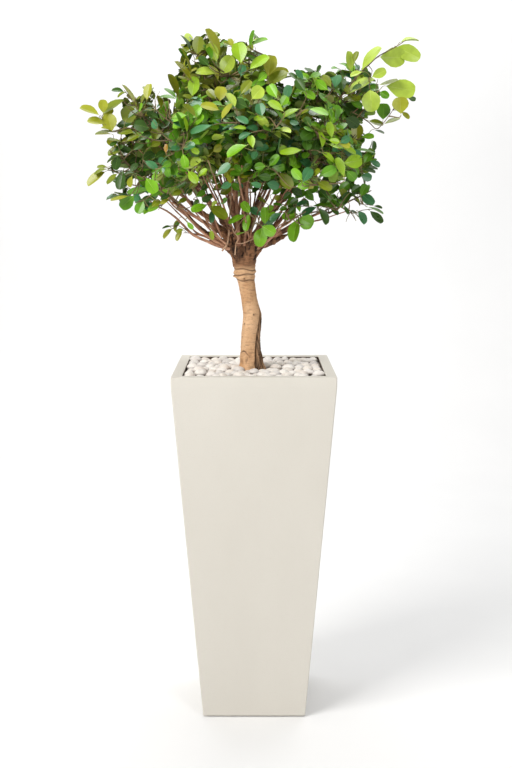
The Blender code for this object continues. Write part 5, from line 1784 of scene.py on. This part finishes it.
def grow_shoots(draw, twig, space, crown, mix, scale):
    """The finest order: leafy shoots on both sides of a twig, and its own leafy end."""
    length = (twig[-1] - twig[0]).length
    direction = (twig[-1] - twig[0]).normalized()
    dress(draw, twig, crown, space, pick(draw, mix), scale, TWIG_LEAFY_FROM)
    count = max(1, int(length / SHOOT_SPACING))
    for i in range(count):
        share = SHOOT_FIRST_SPAN[0] + SHOOT_FIRST_SPAN[1] * (i + 0.5) / count
        start = along_line(twig, share)
        azimuth = GOLDEN_ANGLE * i + draw.uniform(-SHOOT_SWING, SHOOT_SWING)
        lean = math.radians(draw.uniform(*SHOOT_LEAN))
        across = tilted(direction.orthogonal().normalized(), direction, azimuth)
        heading = direction * math.cos(lean) + across * math.sin(lean) + Vector((0.0, 0.0, SHOOT_RISE))
        heading.normalize()
        room = space.way_out(start, heading)
        reach = min(draw.uniform(*SHOOT_LENGTH), room - LEAF_LENGTH * scale * SHOOT_SETBACK)
        if reach < SHOOT_SHORTEST:
            continue
        shoot = bowed(start, heading, reach, SHOOT_BOW)
        if crown.in_view_gap(shoot[1]) or crown.in_view_gap(shoot[2]):
            continue
        add_tube(crown.shoots, shoot, graded(*SHOOT_RADII, 3), 4)
        dress(draw, shoot, crown, space, pick(draw, mix), scale, SHOOT_LEAFY_FROM)


def make_foliage(spaces, lines, side_stems):
    """The crown: the listed pieces first, then what grows by rule in the room that they leave."""
    limbs = Bunch()
    for line, girths in list(lines.values()) + side_stems:
        add_tube(limbs, line[::3], girths[::3], 6)
    tree = BVHTree.FromPolygons(np.concatenate(limbs.points).tolist(), limbs.faces)
    crown = Crown(tree)
    grown = {}
    for name, space in spaces.items():
        if name not in HAND_SET:
            grown[name] = grow_twigs(name, space, lines[name][0], crown)
    anchors = [point for line, _ in list(lines.values()) + side_stems for point in line]
    for stem, twigs in grown.values():
        anchors += stem + [along_line(twig, k / 8) for twig in twigs for k in range(9)]
    for twig in SHOWN_TWIGS:
        anchors += crown.shown_twig(*twig)[4:]
    draw = random.Random("shown")
    for spray, leaves in SPRAYS.items():
        for leaf in leaves:
            crown.shown_leaf(draw, spray, spaces.values(), *leaf)
    crown.tie_joints(anchors)
    for name, (_, twigs) in grown.items():
        draw = random.Random("leaves of " + name)
        mix = MIXES.get(name, USUAL_MIX)
        for twig in twigs:
            grow_shoots(draw, twig, spaces[name], crown, mix, LEAF_SCALES.get(name, 1.0))
    twig_bark = stem_material("twig_bark", (0.235, 0.170, 0.085), (0.105, 0.070, 0.036))
    shoot_bark = stem_material("shoot_bark", (0.300, 0.280, 0.095), (0.170, 0.135, 0.055))
    # A lighter copy of the stem bark: painted light on the stems that stand in the light.
    painted_lit_bark = stem_material("painted_lit_bark", (0.560, 0.360, 0.230), (0.380, 0.210, 0.120))
    belongs(crown.twigs.piece("twigs", [twig_bark]), "stem_bark", *FOLIAGE_NODES)
    belongs(crown.shoots.piece("shoots", [shoot_bark]), "stem_bark", *FOLIAGE_NODES)
    belongs(crown.pale.piece("painted_lit_twigs", [painted_lit_bark]), "stem_bark", *BOUGH_NODES)
    for kind, (upper, under, rib) in LEAF_KINDS.items():
        bunch = crown.leaves[kind]
        colours = {"upper": upper, "under": under, "rib": rib}
        sides = [leaf_material(f"leaf_{kind}_{side}", colours[side], LEAF_GLOSS[side]) for side in colours]
        belongs(bunch.piece(f"leaves_{kind}", sides), "foliage", *FOLIAGE_NODES)


# ---------------------------------------------------------------- stage

STAGE_HALF = 7.0
STAGE_FRONT = -6.0
STAGE_TOP = 6.0
CURVE_START = 2.2
CURVE_RADIUS = 1.6
STAGE_DROP = 0.0002
WORLD_STRENGTH = 0.38

# Name, place, target, size, power and colour.
LAMPS = (
    ("key", (-2.5, -2.2, 3.4), (0.0, 0.0, 1.1), (2.0, 2.0), 150.0, (1.0, 0.985, 0.96)),
    ("fill", (1.7, -2.9, 2.0), (0.0, 0.0, 0.9), (1.2, 1.2), 34.0, (1.0, 1.0, 1.0)),
    ("top", (0.3, 0.8, 4.4), (0.0, 0.0, 0.8), (2.4, 2.4), 30.0, (1.0, 1.0, 1.0)),
    ("backdrop", (0.0, 1.4, 4.6), (0.0, 3.8, 1.2), (4.0, 1.5), 90.0, (1.0, 1.0, 1.0)),
)


def make_stage():
    """A pale floor that curves up into the backdrop."""
    recipe = Recipe("studio_floor", roughness=0.9, specular=0.1)
    tone = recipe.noise(3.0, 2.0)
    recipe.colour(recipe.mix(recipe.span(tone, 0.3, 0.7), (0.815, 0.815, 0.815), (0.828, 0.828, 0.828)))
    recipe.see_through_from_behind()
    profile = [(STAGE_FRONT, 0.0), (CURVE_START, 0.0)]
    for angle in np.radians(np.arange(6, 91, 6)):
        rise = CURVE_RADIUS - CURVE_RADIUS * math.cos(angle)
        profile.append((CURVE_START + CURVE_RADIUS * math.sin(angle), rise))
    profile.append((CURVE_START + CURVE_RADIUS, STAGE_TOP))
    points = [(x, y, z - STAGE_DROP) for y, z in profile for x in (-STAGE_HALF, STAGE_HALF)]
    faces = [(2 * i, 2 * i + 1, 2 * i + 3, 2 * i + 2) for i in range(len(profile) - 1)]
    bunch = Bunch()
    bunch.add(points, faces)
    bunch.piece("studio_floor", [recipe.material])


def lamp(name, place, target, size, power, colour):
    light = bpy.data.lights.new(name, "AREA")
    light.shape = "RECTANGLE"
    light.size, light.size_y = size
    light.energy = power
    light.color = colour
    obj = bpy.data.objects.new(name, light)
    obj.location = place
    obj.rotation_euler = (Vector(target) - Vector(place)).to_track_quat("-Z", "Y").to_euler()
    bpy.context.scene.collection.objects.link(obj)


def make_light():
    """A dim white surround and large soft lamps."""
    world = bpy.data.worlds.new("studio")
    world.use_nodes = True
    background = world.node_tree.nodes["Background"]
    background.inputs["Color"].default_value = (1.0, 1.0, 1.0, 1.0)
    background.inputs["Strength"].default_value = WORLD_STRENGTH
    bpy.context.scene.world = world
    for settings in LAMPS:
        lamp(*settings)


def make_camera():
    data = bpy.data.cameras.new("camera")
    data.lens = LENS
    data.sensor_width = SENSOR
    camera = bpy.data.objects.new("camera", data)
    camera.location = CAMERA_PLACE
    camera.rotation_euler = (math.radians(90.0) - CAMERA_DOWN, 0.0, 0.0)
    bpy.context.scene.collection.objects.link(camera)
    bpy.context.scene.camera = camera
    bpy.context.scene.view_settings.view_transform = "Standard"


def main():
    noise.seed_set(NOISE_SEED)
    make_camera()
    make_light()
    make_stage()
    make_planter()
    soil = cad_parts["soil"].data.materials
    soil.clear()
    soil.append(soil_material())
    make_pebbles()
    bark = bark_material()
    stem_bark = stem_material("ficus_stem", (0.460, 0.222, 0.130), (0.082, 0.034, 0.020))
    spaces = make_spaces()
    routes = bough_routes(spaces)
    make_trunk(bark)
    make_fork(routes, bark)
    lines, side_stems = make_boughs(routes, spaces, stem_bark)
    make_foliage(spaces, lines, side_stems)


main()
